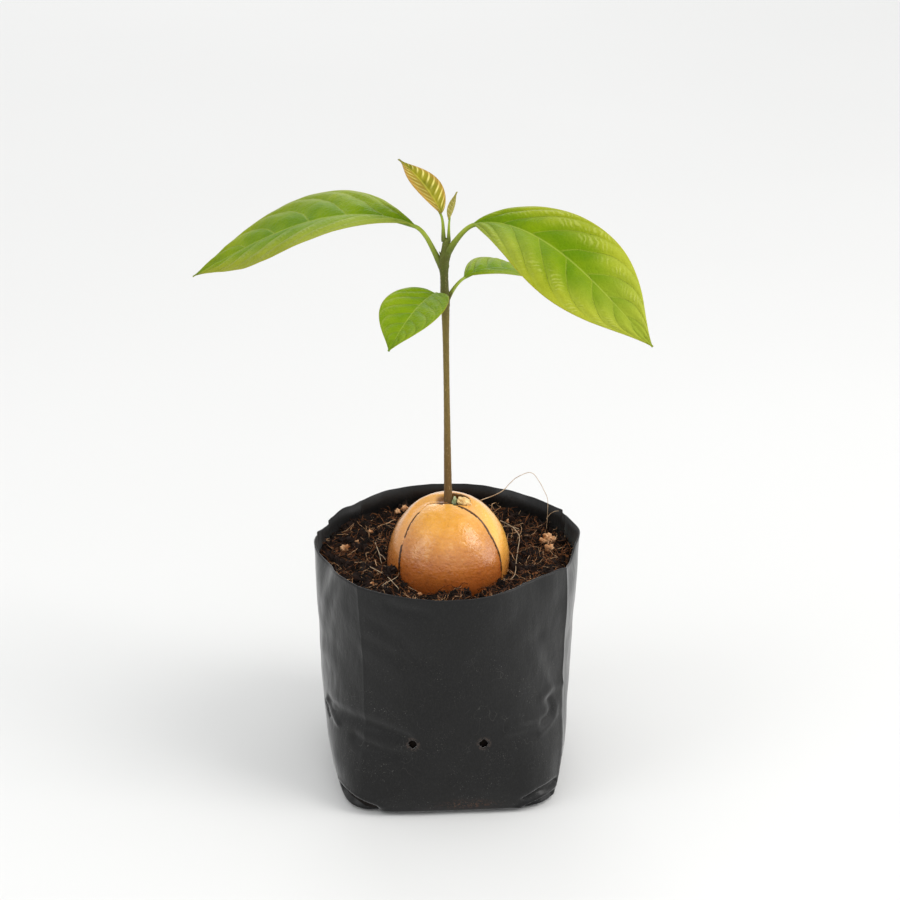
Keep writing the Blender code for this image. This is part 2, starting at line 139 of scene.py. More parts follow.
# Roots on the potting mix, and the one that arches up from it and back
ROOTS_ON_MIX = {
    "right_root": ((0.0208, 0.0325), (0.0255, 0.0268), (0.0279, 0.0208), (0.0278, 0.0115), (0.0268, 0.0030),
                   (0.0258, -0.0120), (0.0240, -0.0175)),
    "left_root": ((-0.0293, -0.0094), (-0.0242, -0.0146), (-0.0212, -0.0206), (-0.0180, -0.0290)),
    "side_root": ((-0.0280, 0.0115), (-0.0265, 0.0057), (-0.0258, 0.0008), (-0.0250, -0.0050)),
}
ARCH_ROOT = ((0.0060, 0.0290, 0.0880), (0.0090, 0.0240, 0.0970), (0.0124, 0.0200, 0.1016),
             (0.0166, 0.0207, 0.1028), (0.0213, 0.0214, 0.1053), (0.0240, 0.0220, 0.1080),
             (0.0275, 0.0228, 0.1106), (0.0322, 0.0236, 0.1120), (0.0358, 0.0244, 0.1078),
             (0.0390, 0.0250, 0.1012), (0.0394, 0.0254, 0.0955), (0.0390, 0.0250, 0.0900))
ROOT_DIAMETER = 0.0005


# Colours and node recipes
def tint(code):
    """A colour as it looks on paper, like 3f2e21, as the linear values that nodes take."""
    parts = [int(code[i:i + 2], 16) / 255 for i in (0, 2, 4)]
    return (*[c / 12.92 if c <= 0.04045 else ((c + 0.055) / 1.055) ** 2.4 for c in parts], 1)


class Recipe:
    """A node tree that is being filled in. Each call adds one node and hands back a result."""

    def __init__(self, tree):
        self.tree = tree

    def put(self, kind, inputs=None, result=0, **settings):
        made = self.tree.nodes.new(kind)
        for name, value in settings.items():
            setattr(made, name, value)
        for name, value in (inputs or {}).items():
            if isinstance(value, bpy.types.NodeSocket):
                self.tree.links.new(value, made.inputs[name])
            else:
                made.inputs[name].default_value = value
        return made.outputs[result] if made.outputs else made

    def place(self):
        return self.put("ShaderNodeTexCoord", result="Object")

    def attribute(self, name, result="Fac"):
        return self.put("ShaderNodeAttribute", result=result, attribute_name=name)

    def parts(self, vector):
        made = self.put("ShaderNodeSeparateXYZ", {"Vector": vector})
        return made.node.outputs

    def sum(self, operation, a, b=0.0, clamp=False):
        return self.put("ShaderNodeMath", {0: a, 1: b}, operation=operation, use_clamp=clamp)

    def plus(self, a, b):
        return self.sum("ADD", a, b)

    def minus(self, a, b, clamp=False):
        return self.sum("SUBTRACT", a, b, clamp)

    def times(self, a, b):
        return self.sum("MULTIPLY", a, b)

    def stretch(self, vector, by):
        return self.put("ShaderNodeVectorMath", {0: vector, 1: by}, operation="MULTIPLY")

    def shift(self, vector, by):
        return self.put("ShaderNodeVectorMath", {0: vector, 1: by}, operation="ADD")

    def length(self, vector):
        return self.put("ShaderNodeVectorMath", {0: vector}, "Value", operation="LENGTH")

    def noise(self, vector, scale, detail=2.0, rough=0.5):
        return self.put("ShaderNodeTexNoise", {"Vector": vector, "Scale": scale, "Detail": detail,
                                               "Roughness": rough})

    def ease(self, value, low, high, start=0.0, end=1.0):
        return self.put("ShaderNodeMapRange", {"Value": value, "From Min": low, "From Max": high,
                                               "To Min": start, "To Max": end},
                        interpolation_type="SMOOTHSTEP")

    def mix(self, share, a, b):
        return self.put("ShaderNodeMix", {0: share, 6: a, 7: b}, 2, data_type="RGBA")

    def ramp(self, share, *stops):
        colours = self.put("ShaderNodeValToRGB", {"Fac": share})
        elements = colours.node.color_ramp.elements
        while len(elements) < len(stops):
            elements.new(1)
        for element, (position, colour) in zip(elements, stops):
            element.position = position
            element.color = tint(colour)
        return colours

    def bump(self, height, distance, strength=1.0):
        return self.put("ShaderNodeBump", {"Height": height, "Distance": distance, "Strength": strength})

    def effect(self, group, **inputs):
        made = self.put("ShaderNodeGroup", node_tree=group)
        feed(self, made.node, **inputs)
        return made.node.outputs


def finish(name, fill):
    """A material whose shader is set and fed by fill(recipe, shader)."""
    material = bpy.data.materials.new(name)
    material.use_nodes = True
    shader = material.node_tree.nodes["Principled BSDF"]
    fill(Recipe(material.node_tree), shader)
    return material


def feed(recipe, node, **inputs):
    """Links or sets a node's own inputs, named with _ for a space."""
    for name, value in inputs.items():
        socket = node.inputs[name.replace("_", " ")]
        if isinstance(value, bpy.types.NodeSocket):
            recipe.tree.links.new(value, socket)
        else:
            socket.default_value = value


def shared_effect(name, inputs, outputs, fill):
    """A node group that several finishes share."""
    tree = bpy.data.node_groups.new(name, "ShaderNodeTree")
    for label, kind, value in inputs:
        socket = tree.interface.new_socket(label, in_out="INPUT", socket_type=kind)
        if value is not None:
            socket.default_value = value
    for label, kind in outputs:
        tree.interface.new_socket(label, in_out="OUTPUT", socket_type=kind)
    given = tree.nodes.new("NodeGroupInput")
    handed = tree.nodes.new("NodeGroupOutput")
    results = fill(Recipe(tree), given.outputs)
    for label, socket in results.items():
        tree.links.new(socket, handed.inputs[label])
    return tree


def fill_grain(recipe, given):
    """Uneven colour and a fine rough surface, the same on bark, coat, root and soil."""
    place = recipe.stretch(given["Position"], given["Stretch"])
    broad = recipe.noise(place, given["Scale"], 3, 0.55)
    fine = recipe.noise(place, recipe.times(given["Scale"], 4.5), 3, 0.6)
    height = recipe.plus(recipe.times(broad, 0.6), recipe.times(fine, 0.4))
    return {"Mottle": recipe.ease(broad, 0.3, 0.7), "Speck": recipe.ease(fine, 0.35, 0.68), "Height": height}


GRAIN = shared_effect(
    "Natural grain",
    (("Position", "NodeSocketVector", None), ("Stretch", "NodeSocketVector", (1, 1, 1)),
     ("Scale", "NodeSocketFloat", 400.0)),
    (("Mottle", "NodeSocketFloat"), ("Speck", "NodeSocketFloat"), ("Height", "NodeSocketFloat")), fill_grain)


def fill_veins(recipe, given):
    """Side veins where the phase is whole, and the swell of the blade between them."""
    away = recipe.sum("PINGPONG", given["Phase"], 0.5)
    out = recipe.sum("ABSOLUTE", given["Across"])
    width = recipe.times(given["Width"], recipe.ease(out, 0.05, 1.0, 1.0, 0.35))
    vein = recipe.minus(1.0, recipe.sum("DIVIDE", away, width, True), True)
    fading = recipe.ease(out, 0.72, 0.97, 1.0, 0.0)
    rib = recipe.minus(1.0, recipe.sum("DIVIDE", out, given["Rib width"], True), True)
    return {"Vein": recipe.times(vein, fading), "Rib": recipe.ease(rib, 0.0, 0.8),
            "Swell": recipe.ease(away, 0.05, 0.5), "Out": out}


VEINS = shared_effect(
    "Leaf veins",
    (("Phase", "NodeSocketFloat", 0.0), ("Across", "NodeSocketFloat", 0.0), ("Width", "NodeSocketFloat", 0.1),
     ("Rib width", "NodeSocketFloat", 0.05)),
    (("Vein", "NodeSocketFloat"), ("Rib", "NodeSocketFloat"), ("Swell", "NodeSocketFloat"),
     ("Out", "NodeSocketFloat")), fill_veins)


# Finishes
def film(recipe, shader):
    """Black film: satin, finely wrinkled, with pale dust, scratches, a brown smear low in front and painted
    shade along the foot.
    """
    place = recipe.place()
    x, _, z = recipe.parts(place)
    dirt = recipe.attribute("dirt")
    wrinkle = recipe.noise(recipe.stretch(place, (1, 1, 0.5)), 320, 3, 0.55)
    fine = recipe.noise(place, 1400, 2, 0.5)
    weave = recipe.noise(recipe.stretch(place, (1, 1, 0.45)), 2200, 1, 0.5)
    low = recipe.ease(z, 0.085, 0.045, 0.25, 1)
    dusty = recipe.times(recipe.ease(recipe.noise(place, 120, 3, 0.6), 0.42, 0.62), low)
    dust = recipe.times(recipe.ease(recipe.noise(place, 2300, 3, 0.6), 0.63, 0.70), dusty)
    line = recipe.sum("ABSOLUTE", recipe.minus(recipe.noise(place, 170, 1, 0.5), 0.5))
    rubbed = recipe.times(recipe.ease(recipe.noise(place, 95, 1, 0.5), 0.56, 0.62), low)
    scratch = recipe.times(recipe.ease(line, 0.004, 0.0), rubbed)
    haze = recipe.ease(recipe.noise(place, 45, 4, 0.6), 0.35, 0.75)
    beside = recipe.minus(recipe.sum("ABSOLUTE", recipe.minus(x, HOLE_MIDDLE)), HOLE_SPREAD)
    above = recipe.minus(z, HOLE_HEIGHT)
    away = recipe.sum("SQRT", recipe.plus(recipe.times(beside, beside), recipe.times(above, above)))
    torn = recipe.times(recipe.ease(away, HOLE_RADIUS * 1.02, HOLE_RADIUS * 1.75, 1, 0),
                        recipe.ease(fine, 0.4, 0.6))
    colour = recipe.mix(haze, tint("040404"), tint("0a0a0a"))
    colour = recipe.mix(recipe.ease(weave, 0.35, 0.75, 0, 0.6), colour, tint("161616"))
    colour = recipe.mix(recipe.times(dust, 0.34), colour, tint("8d8b86"))
    colour = recipe.mix(recipe.times(scratch, 0.14), colour, tint("8d8b86"))
    colour = recipe.mix(recipe.times(torn, 0.22), colour, tint("6b5a50"))
    smear = recipe.times(dirt, recipe.ease(recipe.noise(place, 1300, 3, 0.65), 0.48, 0.64))
    colour = recipe.mix(smear, colour, tint("5a3a28"))
    height = recipe.plus(recipe.times(wrinkle, 0.6), recipe.times(fine, 0.16))
    # Painted shade along the foot: the film darkens there and loses its coat, standing in for the contact
    # shade where it meets the floor.
    painted_foot_shade = recipe.ease(z, 0.0040, 0.0012, 0, 1)
    colour = recipe.mix(recipe.times(painted_foot_shade, 0.9), colour, tint("020202"))
    feed(recipe, shader, Base_Color=colour, Specular_IOR_Level=0.22,
         Coat_Weight=recipe.minus(0.10, recipe.times(painted_foot_shade, 0.10)), Coat_Roughness=0.22,
         Sheen_Weight=0.40, Sheen_Roughness=0.35,
         Roughness=recipe.ease(haze, 0, 1, 0.34, 0.49), Normal=recipe.bump(height, 0.0006, 0.42))


def soil(dark, light, bump=0.0004):
    """Coir and peat: rough, with two browns dealt out by a coarse grain."""
    def fill(recipe, shader):
        grain = recipe.effect(GRAIN, Position=recipe.place(), Scale=520.0)
        colour = recipe.mix(grain["Mottle"], tint(dark), tint(light))
        feed(recipe, shader, Base_Color=colour, Roughness=0.92, Specular_IOR_Level=0.25,
             Normal=recipe.bump(grain["Height"], bump, 0.8))
    return fill


def seed_coat(recipe, shader):
    """Seed coat: golden on top, red-brown low down, pale at the rear half's rim and dark in the shoot's
    hollow, with painted shade at the left, in the crack and beside the stem, and painted light on the rear
    half's right side and the front half's top edge.
    """
    place = recipe.place()
    x, _, z = recipe.parts(place)
    grain = recipe.effect(GRAIN, Position=place, Stretch=(1.0, 1.0, 0.8), Scale=150.0)
    streak = recipe.noise(recipe.stretch(place, (0.8, 0.8, 1.2)), 560, 4, 0.65)
    wander = recipe.times(recipe.minus(recipe.noise(place, 90, 3, 0.6), 0.5), 0.010)
    level = recipe.plus(z, wander)
    height = recipe.sum("DIVIDE", recipe.minus(level, 0.0835), 0.0285, True)
    body = recipe.ramp(height, (0.0, "8e4c1e"), (0.10, "a35924"), (0.20, "b16428"), (0.32, "c2732c"),
                       (0.52, "cf8428"), (0.78, "e39c34"), (1.0, "edac44"))
    # Painted shade: darker and redder towards the left side.
    body = recipe.mix(recipe.ease(x, -0.004, -0.022, 0, 0.50), body, tint("a05727"))
    stain = recipe.times(grain["Mottle"], recipe.ease(height, 0.75, 0.1, 0.12, 0.55))
    body = recipe.mix(stain, body, tint("a3501f"))
    fleck = recipe.times(recipe.ease(streak, 0.50, 0.68), recipe.ease(height, 0.7, 0.1, 0.14, 0.5))
    body = recipe.mix(fleck, body, tint("7c3f18"))
    # Pale streaks on the upper coat: partly the coat's own streaks, partly a painted sheen.
    streak_sheen = recipe.times(recipe.ease(streak, 0.50, 0.25), recipe.ease(height, 0.2, 0.6, 0, 0.25))
    body = recipe.mix(streak_sheen, body, tint("ffd893"))
    rear = recipe.ease(recipe.attribute("rear"), 0.2, 0.9)
    pale = recipe.times(rear, recipe.ease(z, 0.088, 0.112, 0.05, 0.42))
    body = recipe.mix(pale, body, tint("efb06a"))
    # Painted light: the rear half's right side is lightened to golden, as if lit from the right.
    lit = recipe.times(recipe.ease(x, 0.008, 0.018, 0.1, 1.0), recipe.ease(level, 0.084, 0.099, 0.2, 1))
    painted_right_light = recipe.times(rear, lit)
    body = recipe.mix(painted_right_light, body, tint("ffbb52"))
    # Painted shade of the recess beside the stem's foot, dark brown on the rear half.
    beside = recipe.shift(place, (0.0018, 0.0, -0.1108))
    beside = recipe.length(recipe.stretch(beside, (1 / 0.0034, 1 / 0.0050, 1 / 0.0022)))
    painted_hollow_shade = recipe.times(rear, recipe.ease(beside, 1.0, 0.3, 0, 0.9))
    body = recipe.mix(painted_hollow_shade, body, tint("633610"))
    # Painted shade in the crack: its walls are darkened, more where it opens wider, and lose their coat.
    crack_wall_shade = recipe.ease(recipe.attribute("crack_wall_shade"), 0.35, 0.9)
    # Painted highlight along the front half's top edge by the crack.
    painted_lit_brink = recipe.times(recipe.attribute("painted_lit_brink"), recipe.ease(z, 0.103, 0.108, 0, 0.5))
    body = recipe.mix(painted_lit_brink, body, tint("f2b768"))
    body = recipe.mix(recipe.times(crack_wall_shade, 0.95), body, tint("35190a"))
    well = recipe.length(recipe.put("ShaderNodeVectorMath", {
        0: recipe.shift(place, tuple(-c for c in HOLLOW_CENTRE)), 1: HOLLOW_SIZE}, operation="DIVIDE"))
    body = recipe.mix(recipe.ease(well, 1.12, 1.0, 0, 0.9), body, tint("553417"))
    broad = recipe.noise(place, 240, 2, 0.5)
    peel = recipe.noise(recipe.stretch(place, (1, 1, 1.3)), 820, 3, 0.55)
    relief = recipe.plus(recipe.times(broad, 0.35), recipe.times(peel, 0.62))
    whole = recipe.minus(1.0, crack_wall_shade)
    wrinkled = recipe.bump(relief, 0.0010, 0.50)
    glazed = recipe.bump(relief, 0.0010, 0.29)
    feed(recipe, shader, Base_Color=body, Roughness=recipe.ease(peel, 0.3, 0.7, 0.24, 0.34),
         Specular_IOR_Level=0.38, Coat_Weight=recipe.times(whole, 0.75),
         Coat_Roughness=0.07, Normal=wrinkled, Coat_Normal=glazed)


def bark(recipe, shader):
    """Young bark: brown at the foot, greener upwards, with fine long streaks and pale pores."""
    place = recipe.place()
    _, _, z = recipe.parts(place)
    grain = recipe.effect(GRAIN, Position=place, Stretch=(1.0, 1.0, 0.22), Scale=1500.0)
    height = recipe.sum("DIVIDE", recipe.minus(z, 0.105), 0.110, True)
    colour = recipe.ramp(height, (0.0, "573b1f"), (0.10, "6c502a"), (0.38, "7b6633"), (0.70, "77682d"),
                         (0.84, "4f561b"), (1.0, "5f6a20"))
    colour = recipe.mix(recipe.times(grain["Mottle"], 0.35), colour, tint("4c3d22"))
    pores = recipe.ease(recipe.noise(recipe.stretch(place, (1, 1, 0.5)), 2600, 1, 0.4), 0.66, 0.74)
    colour = recipe.mix(recipe.times(pores, 0.5), colour, tint("b39a6c"))
    feed(recipe, shader, Base_Color=colour, Roughness=0.52, Specular_IOR_Level=0.25,
         Normal=recipe.bump(grain["Height"], 0.0004, 0.9))


def stalk_skin(recipe, shader):
    """Leaf stalk: olive where it leaves the stem, pale yellow-green at the blade, with painted shade
    underneath.
    """
    place = recipe.place()
    grain = recipe.effect(GRAIN, Position=place, Scale=900.0)
    _, _, facing = recipe.parts(recipe.put("ShaderNodeNewGeometry", result="Normal"))
    colour = recipe.ramp(recipe.attribute("along"), (0.0, "4f561b"), (0.14, "5c6621"), (0.34, "7f8d28"),
                         (0.62, "98a834"), (0.78, "94a52f"), (0.88, "7d9724"))
    # Painted shade: darker green where the stalk faces down.
    colour = recipe.mix(recipe.ease(facing, 0.1, -0.8, 0, 0.5), colour, tint("56661a"))
    colour = recipe.mix(recipe.times(grain["Mottle"], 0.25), colour, tint("7c8a2a"))
    feed(recipe, shader, Base_Color=colour, Roughness=0.42, Specular_IOR_Level=0.3,
         Normal=recipe.bump(grain["Height"], 0.0002, 0.6))


def leaf_skin(recipe, shader):
    """Grown leaf: painted shade past each side vein, yellow-green outwards, with pale veins, painted
    highlights on the swells, on a band past each vein and on fine rungs, and a painted sheen near the base.
    """
    place = recipe.place()
    along, across, upper = recipe.parts(recipe.attribute("leaf_place", "Vector"))
    phase, fresh = recipe.attribute("vein_phase"), recipe.attribute("fresh")
    veins = recipe.effect(VEINS, Phase=phase, Across=across, Width=0.05,
                          Rib_width=recipe.ease(along, 0.0, 1.0, 0.030, 0.020))
    past, out = recipe.sum("FRACT", phase), veins["Out"]
    patch = recipe.noise(place, 70, 3, 0.55)
    deep = recipe.mix(recipe.ease(patch, 0.35, 0.65), tint("5d7e03"), tint("728d05"))
    pale = recipe.mix(recipe.ease(patch, 0.35, 0.65), tint("8c941c"), tint("9ba028"))
    reach = recipe.plus(out, recipe.times(recipe.minus(patch, 0.5), 0.3))
    yellowing = recipe.times(fresh, recipe.ease(along, 0.0, 0.4, 0.45, 1.0))
    green = recipe.mix(recipe.times(recipe.ease(reach, 0.15, 1.0), yellowing), deep, pale)
    tip = recipe.times(recipe.ease(along, 0.50, 0.95, 0.0, 0.75), fresh)
    green = recipe.mix(tip, green, tint("a0a83a"))
    # Painted shade just tipward of each side vein, strongest near the midrib.
    shade = recipe.times(recipe.ease(past, 0.75, 0.05), recipe.ease(out, 0.85, 0.2))
    shade = recipe.times(shade, recipe.ease(along, 0.55, 0.95, 0.5, 0.2))
    green = recipe.mix(shade, green, tint("4a7203"))
    # Painted highlight on the swell of the blade between the side veins, where the leaf yellows.
    painted_swell_highlight = recipe.times(veins["Swell"], recipe.ease(out, 0.15, 0.8, 0.04, 0.26))
    green = recipe.mix(recipe.times(painted_swell_highlight, yellowing), green, tint("a3ad38"))
    olive = recipe.times(recipe.attribute("olive"), recipe.ease(reach, 0.35, 0.95))
    green = recipe.mix(olive, green, tint("8f8418"))
    # Painted highlight: a pale band just tipward of each side vein, in the outer half.
    band = recipe.times(recipe.ease(past, 0.42, 0.12), recipe.ease(out, 0.3, 0.7, 0.02, 0.22))
    green = recipe.mix(band, green, tint("a3b148"))
    # Painted sheen near the base of the blade's near half.
    green = recipe.mix(recipe.attribute("painted_sheen"), green, tint("98a850"))
    wander = recipe.times(recipe.noise(place, 210, 2, 0.5), 2.6)
    wave = recipe.sum("SINE", recipe.times(recipe.plus(recipe.attribute("rung"), wander), 2 * pi))
    in_places = recipe.ease(recipe.noise(place, 150, 2, 0.5), 0.40, 0.62)
    rungs = recipe.times(recipe.ease(wave, -0.4, 0.9), in_places)
    between = recipe.times(recipe.ease(out, 0.28, 0.62), recipe.ease(veins["Swell"], 0.0, 0.5))
    rungs = recipe.times(rungs, between)
    # Painted highlight: pale colour on the fine rungs, which are also bumped into the relief below.
    green = recipe.mix(recipe.times(rungs, recipe.times(fresh, 0.30)), green, tint("c6cc70"))
    net = recipe.put("ShaderNodeTexVoronoi", {"Vector": place, "Scale": 620.0, "Randomness": 1.0},
                     feature="DISTANCE_TO_EDGE")
    lines = recipe.ease(net, 0.0, 0.10, 1.0, 0.0)
    netting = recipe.times(lines, recipe.ease(out, 0.2, 0.8, 0.03, 0.12))
    green = recipe.mix(netting, green, tint("b4be44"))
    green = recipe.mix(recipe.times(veins["Vein"], 0.40), green, tint("9cab3c"))
    green = recipe.mix(recipe.times(veins["Rib"], 0.45), green, tint("a8b650"))
    green = recipe.mix(recipe.ease(out, 0.965, 1.0, 0, 0.6), green, tint("b3a92c"))
    under = recipe.mix(recipe.sum("MAXIMUM", veins["Vein"], veins["Rib"]), tint("6f8a30"), tint("9daa5c"))
    colour = recipe.mix(upper, under, green)
    relief = recipe.minus(recipe.times(recipe.ease(net, 0.0, 0.25), 0.35), recipe.times(veins["Vein"], 0.8))
    relief = recipe.plus(relief, recipe.times(recipe.noise(place, 700, 2, 0.5), 0.4))
    relief = recipe.plus(relief, recipe.times(rungs, 0.5))
    feed(recipe, shader, Base_Color=colour, Roughness=recipe.ease(upper, 0, 1, 0.62, 0.44),
         Specular_IOR_Level=0.11, Specular_Tint=(0.85, 0.9, 0.3, 1), Sheen_Weight=0.05, Sheen_Roughness=0.4,
         Sheen_Tint=(0.9, 1.0, 0.6, 1), Normal=recipe.bump(relief, 0.00026, 0.9))


def young_skin(recipe, shader):
    """Young leaf: yellow-green with cream between the veins, bronze at the edge and the tip."""
    place = recipe.place()
    along, across, upper = recipe.parts(recipe.attribute("leaf_place", "Vector"))
    veins = recipe.effect(VEINS, Phase=recipe.attribute("vein_phase"), Across=across, Width=0.2,
                          Rib_width=0.10)
    patch = recipe.noise(place, 160, 3, 0.5)
    green = recipe.mix(recipe.ease(patch, 0.35, 0.65), tint("6b6c08"), tint("888210"))
    left = recipe.ease(across, -0.1, 0.25)
    cream = recipe.times(recipe.ease(veins["Swell"], 0.55, 0.95), recipe.ease(veins["Out"], 0.1, 0.5))
    broken = recipe.times(recipe.ease(patch, 0.3, 0.6, 0.45, 1), recipe.ease(left, 0, 1, 0.75, 0.55))
    cream = recipe.times(cream, broken)
    green = recipe.mix(recipe.times(left, 0.50), green, tint("9a7424"))
    green = recipe.mix(cream, green, tint("e2d67c"))
    green = recipe.mix(recipe.times(veins["Rib"], 0.5), green, tint("b9b040"))
    bronze = recipe.times(recipe.ease(veins["Out"], 0.55, 0.98), recipe.ease(along, 1.0, 0.8))
    colour = recipe.mix(recipe.times(bronze, 0.62), green, tint("b08038"))
    colour = recipe.mix(recipe.ease(along, 0.82, 1.0, 0, 0.8), colour, tint("8f8e2e"))
    under = recipe.mix(veins["Vein"], tint("a3994a"), tint("c4b878"))
    colour = recipe.mix(upper, under, colour)
    relief = recipe.plus(veins["Swell"], recipe.times(recipe.noise(place, 1500, 2, 0.5), 0.4))
    feed(recipe, shader, Base_Color=colour, Roughness=0.42, Specular_IOR_Level=0.25,
         Specular_Tint=(0.9, 0.9, 0.45, 1), Normal=recipe.bump(relief, 0.00018, 0.8))


def root_skin(recipe, shader):
    """Fine root: pale tan, browner in patches."""
    grain = recipe.effect(GRAIN, Position=recipe.place(), Scale=300.0)
    colour = recipe.mix(grain["Mottle"], tint("9c8062"), tint("cdb798"))
    feed(recipe, shader, Base_Color=colour, Roughness=0.6, Normal=recipe.bump(grain["Height"], 0.0001, 0.5))


def skin_flake(dark, light):
    """A scrap of torn skin or bud at the stem's foot."""
    def fill(recipe, shader):
        grain = recipe.effect(GRAIN, Position=recipe.place(), Scale=700.0)
        colour = recipe.mix(grain["Mottle"], tint(dark), tint(light))
        feed(recipe, shader, Base_Color=colour, Roughness=0.5,
             Normal=recipe.bump(grain["Height"], 0.0004, 0.7))
    return fill


def floor_paint(recipe, shader):
    soft = recipe.noise(recipe.place(), 3, 2, 0.5)
    feed(recipe, shader, Base_Color=recipe.mix(soft, tint("dcdcdb"), tint("e0e0df")), Roughness=0.7,
         Specular_IOR_Level=0.2)


# Meshes
def loose_piece(name, points, faces, material=None):
    mesh = bpy.data.meshes.new(name)
    mesh.from_pydata([tuple(p) for p in points], [], faces)
    mesh.update()
    mesh.shade_smooth()
    if material:
        mesh.materials.append(material)
    piece = bpy.data.objects.new(name, mesh)
    bpy.context.scene.collection.objects.link(piece)
    return piece


def piece_of(bm, name, material=None):
    """A piece that takes over a finished bmesh."""
    mesh = bpy.data.meshes.new(name)
    bm.to_mesh(mesh)
    bm.free()
    if material:
        mesh.materials.append(material)
    piece = bpy.data.objects.new(name, mesh)
    bpy.context.scene.collection.objects.link(piece)
    return piece


def grid_faces(rows, columns, ring=False, first=0, flip=False):
    """Faces of a grid of points, row by row. A ring closes each row on itself."""
    faces = []
    for i in range(rows - 1):
        low, high = first + i * columns, first + (i + 1) * columns
        for j in range(columns if ring else columns - 1):
            k = (j + 1) % columns
            face = (low + j, low + k, high + k, high + j)
            faces.append(face[::-1] if flip else face)
    return faces


def border_faces(rows, columns):
    """Faces that close two grids of points, one after the other in the list, along their borders."""
    count = rows * columns
    border = ([j for j in range(columns)] + [i * columns + columns - 1 for i in range(1, rows)]
              + [(rows - 1) * columns + j for j in range(columns - 2, -1, -1)]
              + [i * columns for i in range(rows - 2, 0, -1)])
    return [(a, b, b + count, a + count) for a, b in zip(border, border[1:] + border[:1])]


def faces_outward(piece):
    bm = bmesh.new()
    bm.from_mesh(piece.data)
    bmesh.ops.recalc_face_normals(bm, faces=bm.faces)
    bm.to_mesh(piece.data)
    bm.free()
    return piece


def mark(piece, name, values):
    """Keeps a number or a vector at each point, for the finish to read."""
    values = np.asarray(values, float)
    vector = values.ndim == 2
    layer = piece.data.attributes.new(name, "FLOAT_VECTOR" if vector else "FLOAT", "POINT")
    layer.data.foreach_set("vector" if vector else "value", values.ravel())


def points_of(piece):
    flat = np.empty(len(piece.data.vertices) * 3)
    piece.data.vertices.foreach_get("co", flat)
    return flat.reshape(-1, 3)


def set_points(piece, points):
    piece.data.vertices.foreach_set("co", np.asarray(points, float).ravel())
    piece.data.update()


def applied(piece):
    """Turns a piece with modifiers into its plain mesh."""
    graph = bpy.context.evaluated_depsgraph_get()
    graph.update()
    mesh = bpy.data.meshes.new_from_object(piece.evaluated_get(graph))
    piece.modifiers.clear()
    piece.data = mesh
    return piece


def cut(piece, *cutters):
    for cutter in cutters:
        step = piece.modifiers.new("cut", "BOOLEAN")
        step.operation = "DIFFERENCE"
        step.solver = "EXACT"
        step.object = cutter
    applied(piece)
    for cutter in cutters:
        bpy.data.objects.remove(cutter)
    return piece


def kept(piece, slot, *nodes):
    """Rides on the body and stands for its solids, whose imported pieces it hides. The slot it is given is
    not used.
    """
    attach(piece, "root")
    if nodes:
        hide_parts(*nodes)
    return piece


def smooth_line(points, count):
    """Count points along a smooth curve that passes through the given ones."""
    points = [Vector(p) for p in points]
    ends = [2 * points[0] - points[1]] + points + [2 * points[-1] - points[-2]]
    line = []
    for i in range(count):
        place = i / (count - 1) * (len(points) - 1)
        k = min(int(place), len(points) - 2)
        t = place - k
        a, b, c, d = ends[k:k + 4]
        line.append(0.5 * (2 * b + (c - a) * t + (2 * a - 5 * b + 4 * c - d) * t ** 2
                           + (3 * b - a - 3 * c + d) * t ** 3))
    return line


def limb(path, radii, sides, rough=0.0):
    """Points and faces of a closed tapering limb along a path, with an uneven skin."""
    path = [Vector(p) for p in path]
    across = Vector((0.3, 1, 0.1)).normalized()
    points = []
    for i, place in enumerate(path):
        ahead = (path[min(i + 1, len(path) - 1)] - path[max(i - 1, 0)]).normalized()
        across = (across - ahead * across.dot(ahead)).normalized()
        beside = ahead.cross(across)
        for k in range(sides):
            turn = 2 * pi * k / sides
            out = cos(turn) * across + sin(turn) * beside
            radius = radii[i]
            if rough:
                radius *= 1 + rough * noise.noise(place * 900 + out * 1.3)
            points.append(place + out * radius)
    faces = grid_faces(len(path), sides, ring=True)
    first, last = len(points), len(points) + 1
    points += [path[0], path[-1]]
    end = (len(path) - 1) * sides
    for k in range(sides):
        j = (k + 1) % sides
        faces.append((first, j, k))
        faces.append((last, end + k, end + j))
    return points, faces


def joined(name, parts, material):
    """One piece from several lists of points and faces."""
    points, faces = [], []
    for some, between in parts:
        faces += [tuple(v + len(points) for v in face) for face in between]
        points += list(some)
    return loose_piece(name, points, faces, material)


# Bag
def hump(angle, centre, width):
    """A smooth hump of height 1 around a direction, in degrees."""
    away = (angle - centre + 180) % 360 - 180
    return np.exp(-((away / width) ** 2))


def crest(angle, centre):
    """A sharp crest of height 1, as a fold leaves in film."""
    away = np.abs((angle - centre + 180) % 360 - 180)
    return np.exp(-away / FOLD_WIDTH)


def fold_direction(fold, level):
    """The front folds lean in towards the foot: the left one evenly, the right one late and sharply."""
    if fold == FOLDS[0]:
        return fold + 2 + 6 * (1 - level)
    if fold == FOLDS[1]:
        return fold - 14 * (1 - level) ** 3
    return fold


def rim_height(angle):
    dips = sum(depth * hump(angle, where, width) for where, depth, width in RIM_DIPS)
    for where, drop, run in RIM_STEPS:
        past = (np.asarray(angle) - where) / run
        dips = dips + drop * np.clip(1 - past, 0, 1) * (past >= 0) - 0.18 * drop * hump(angle, where - 2, 2)
    return BAG_HEIGHT + RIM_BACK_RISE * np.sin(np.radians(angle)) - dips


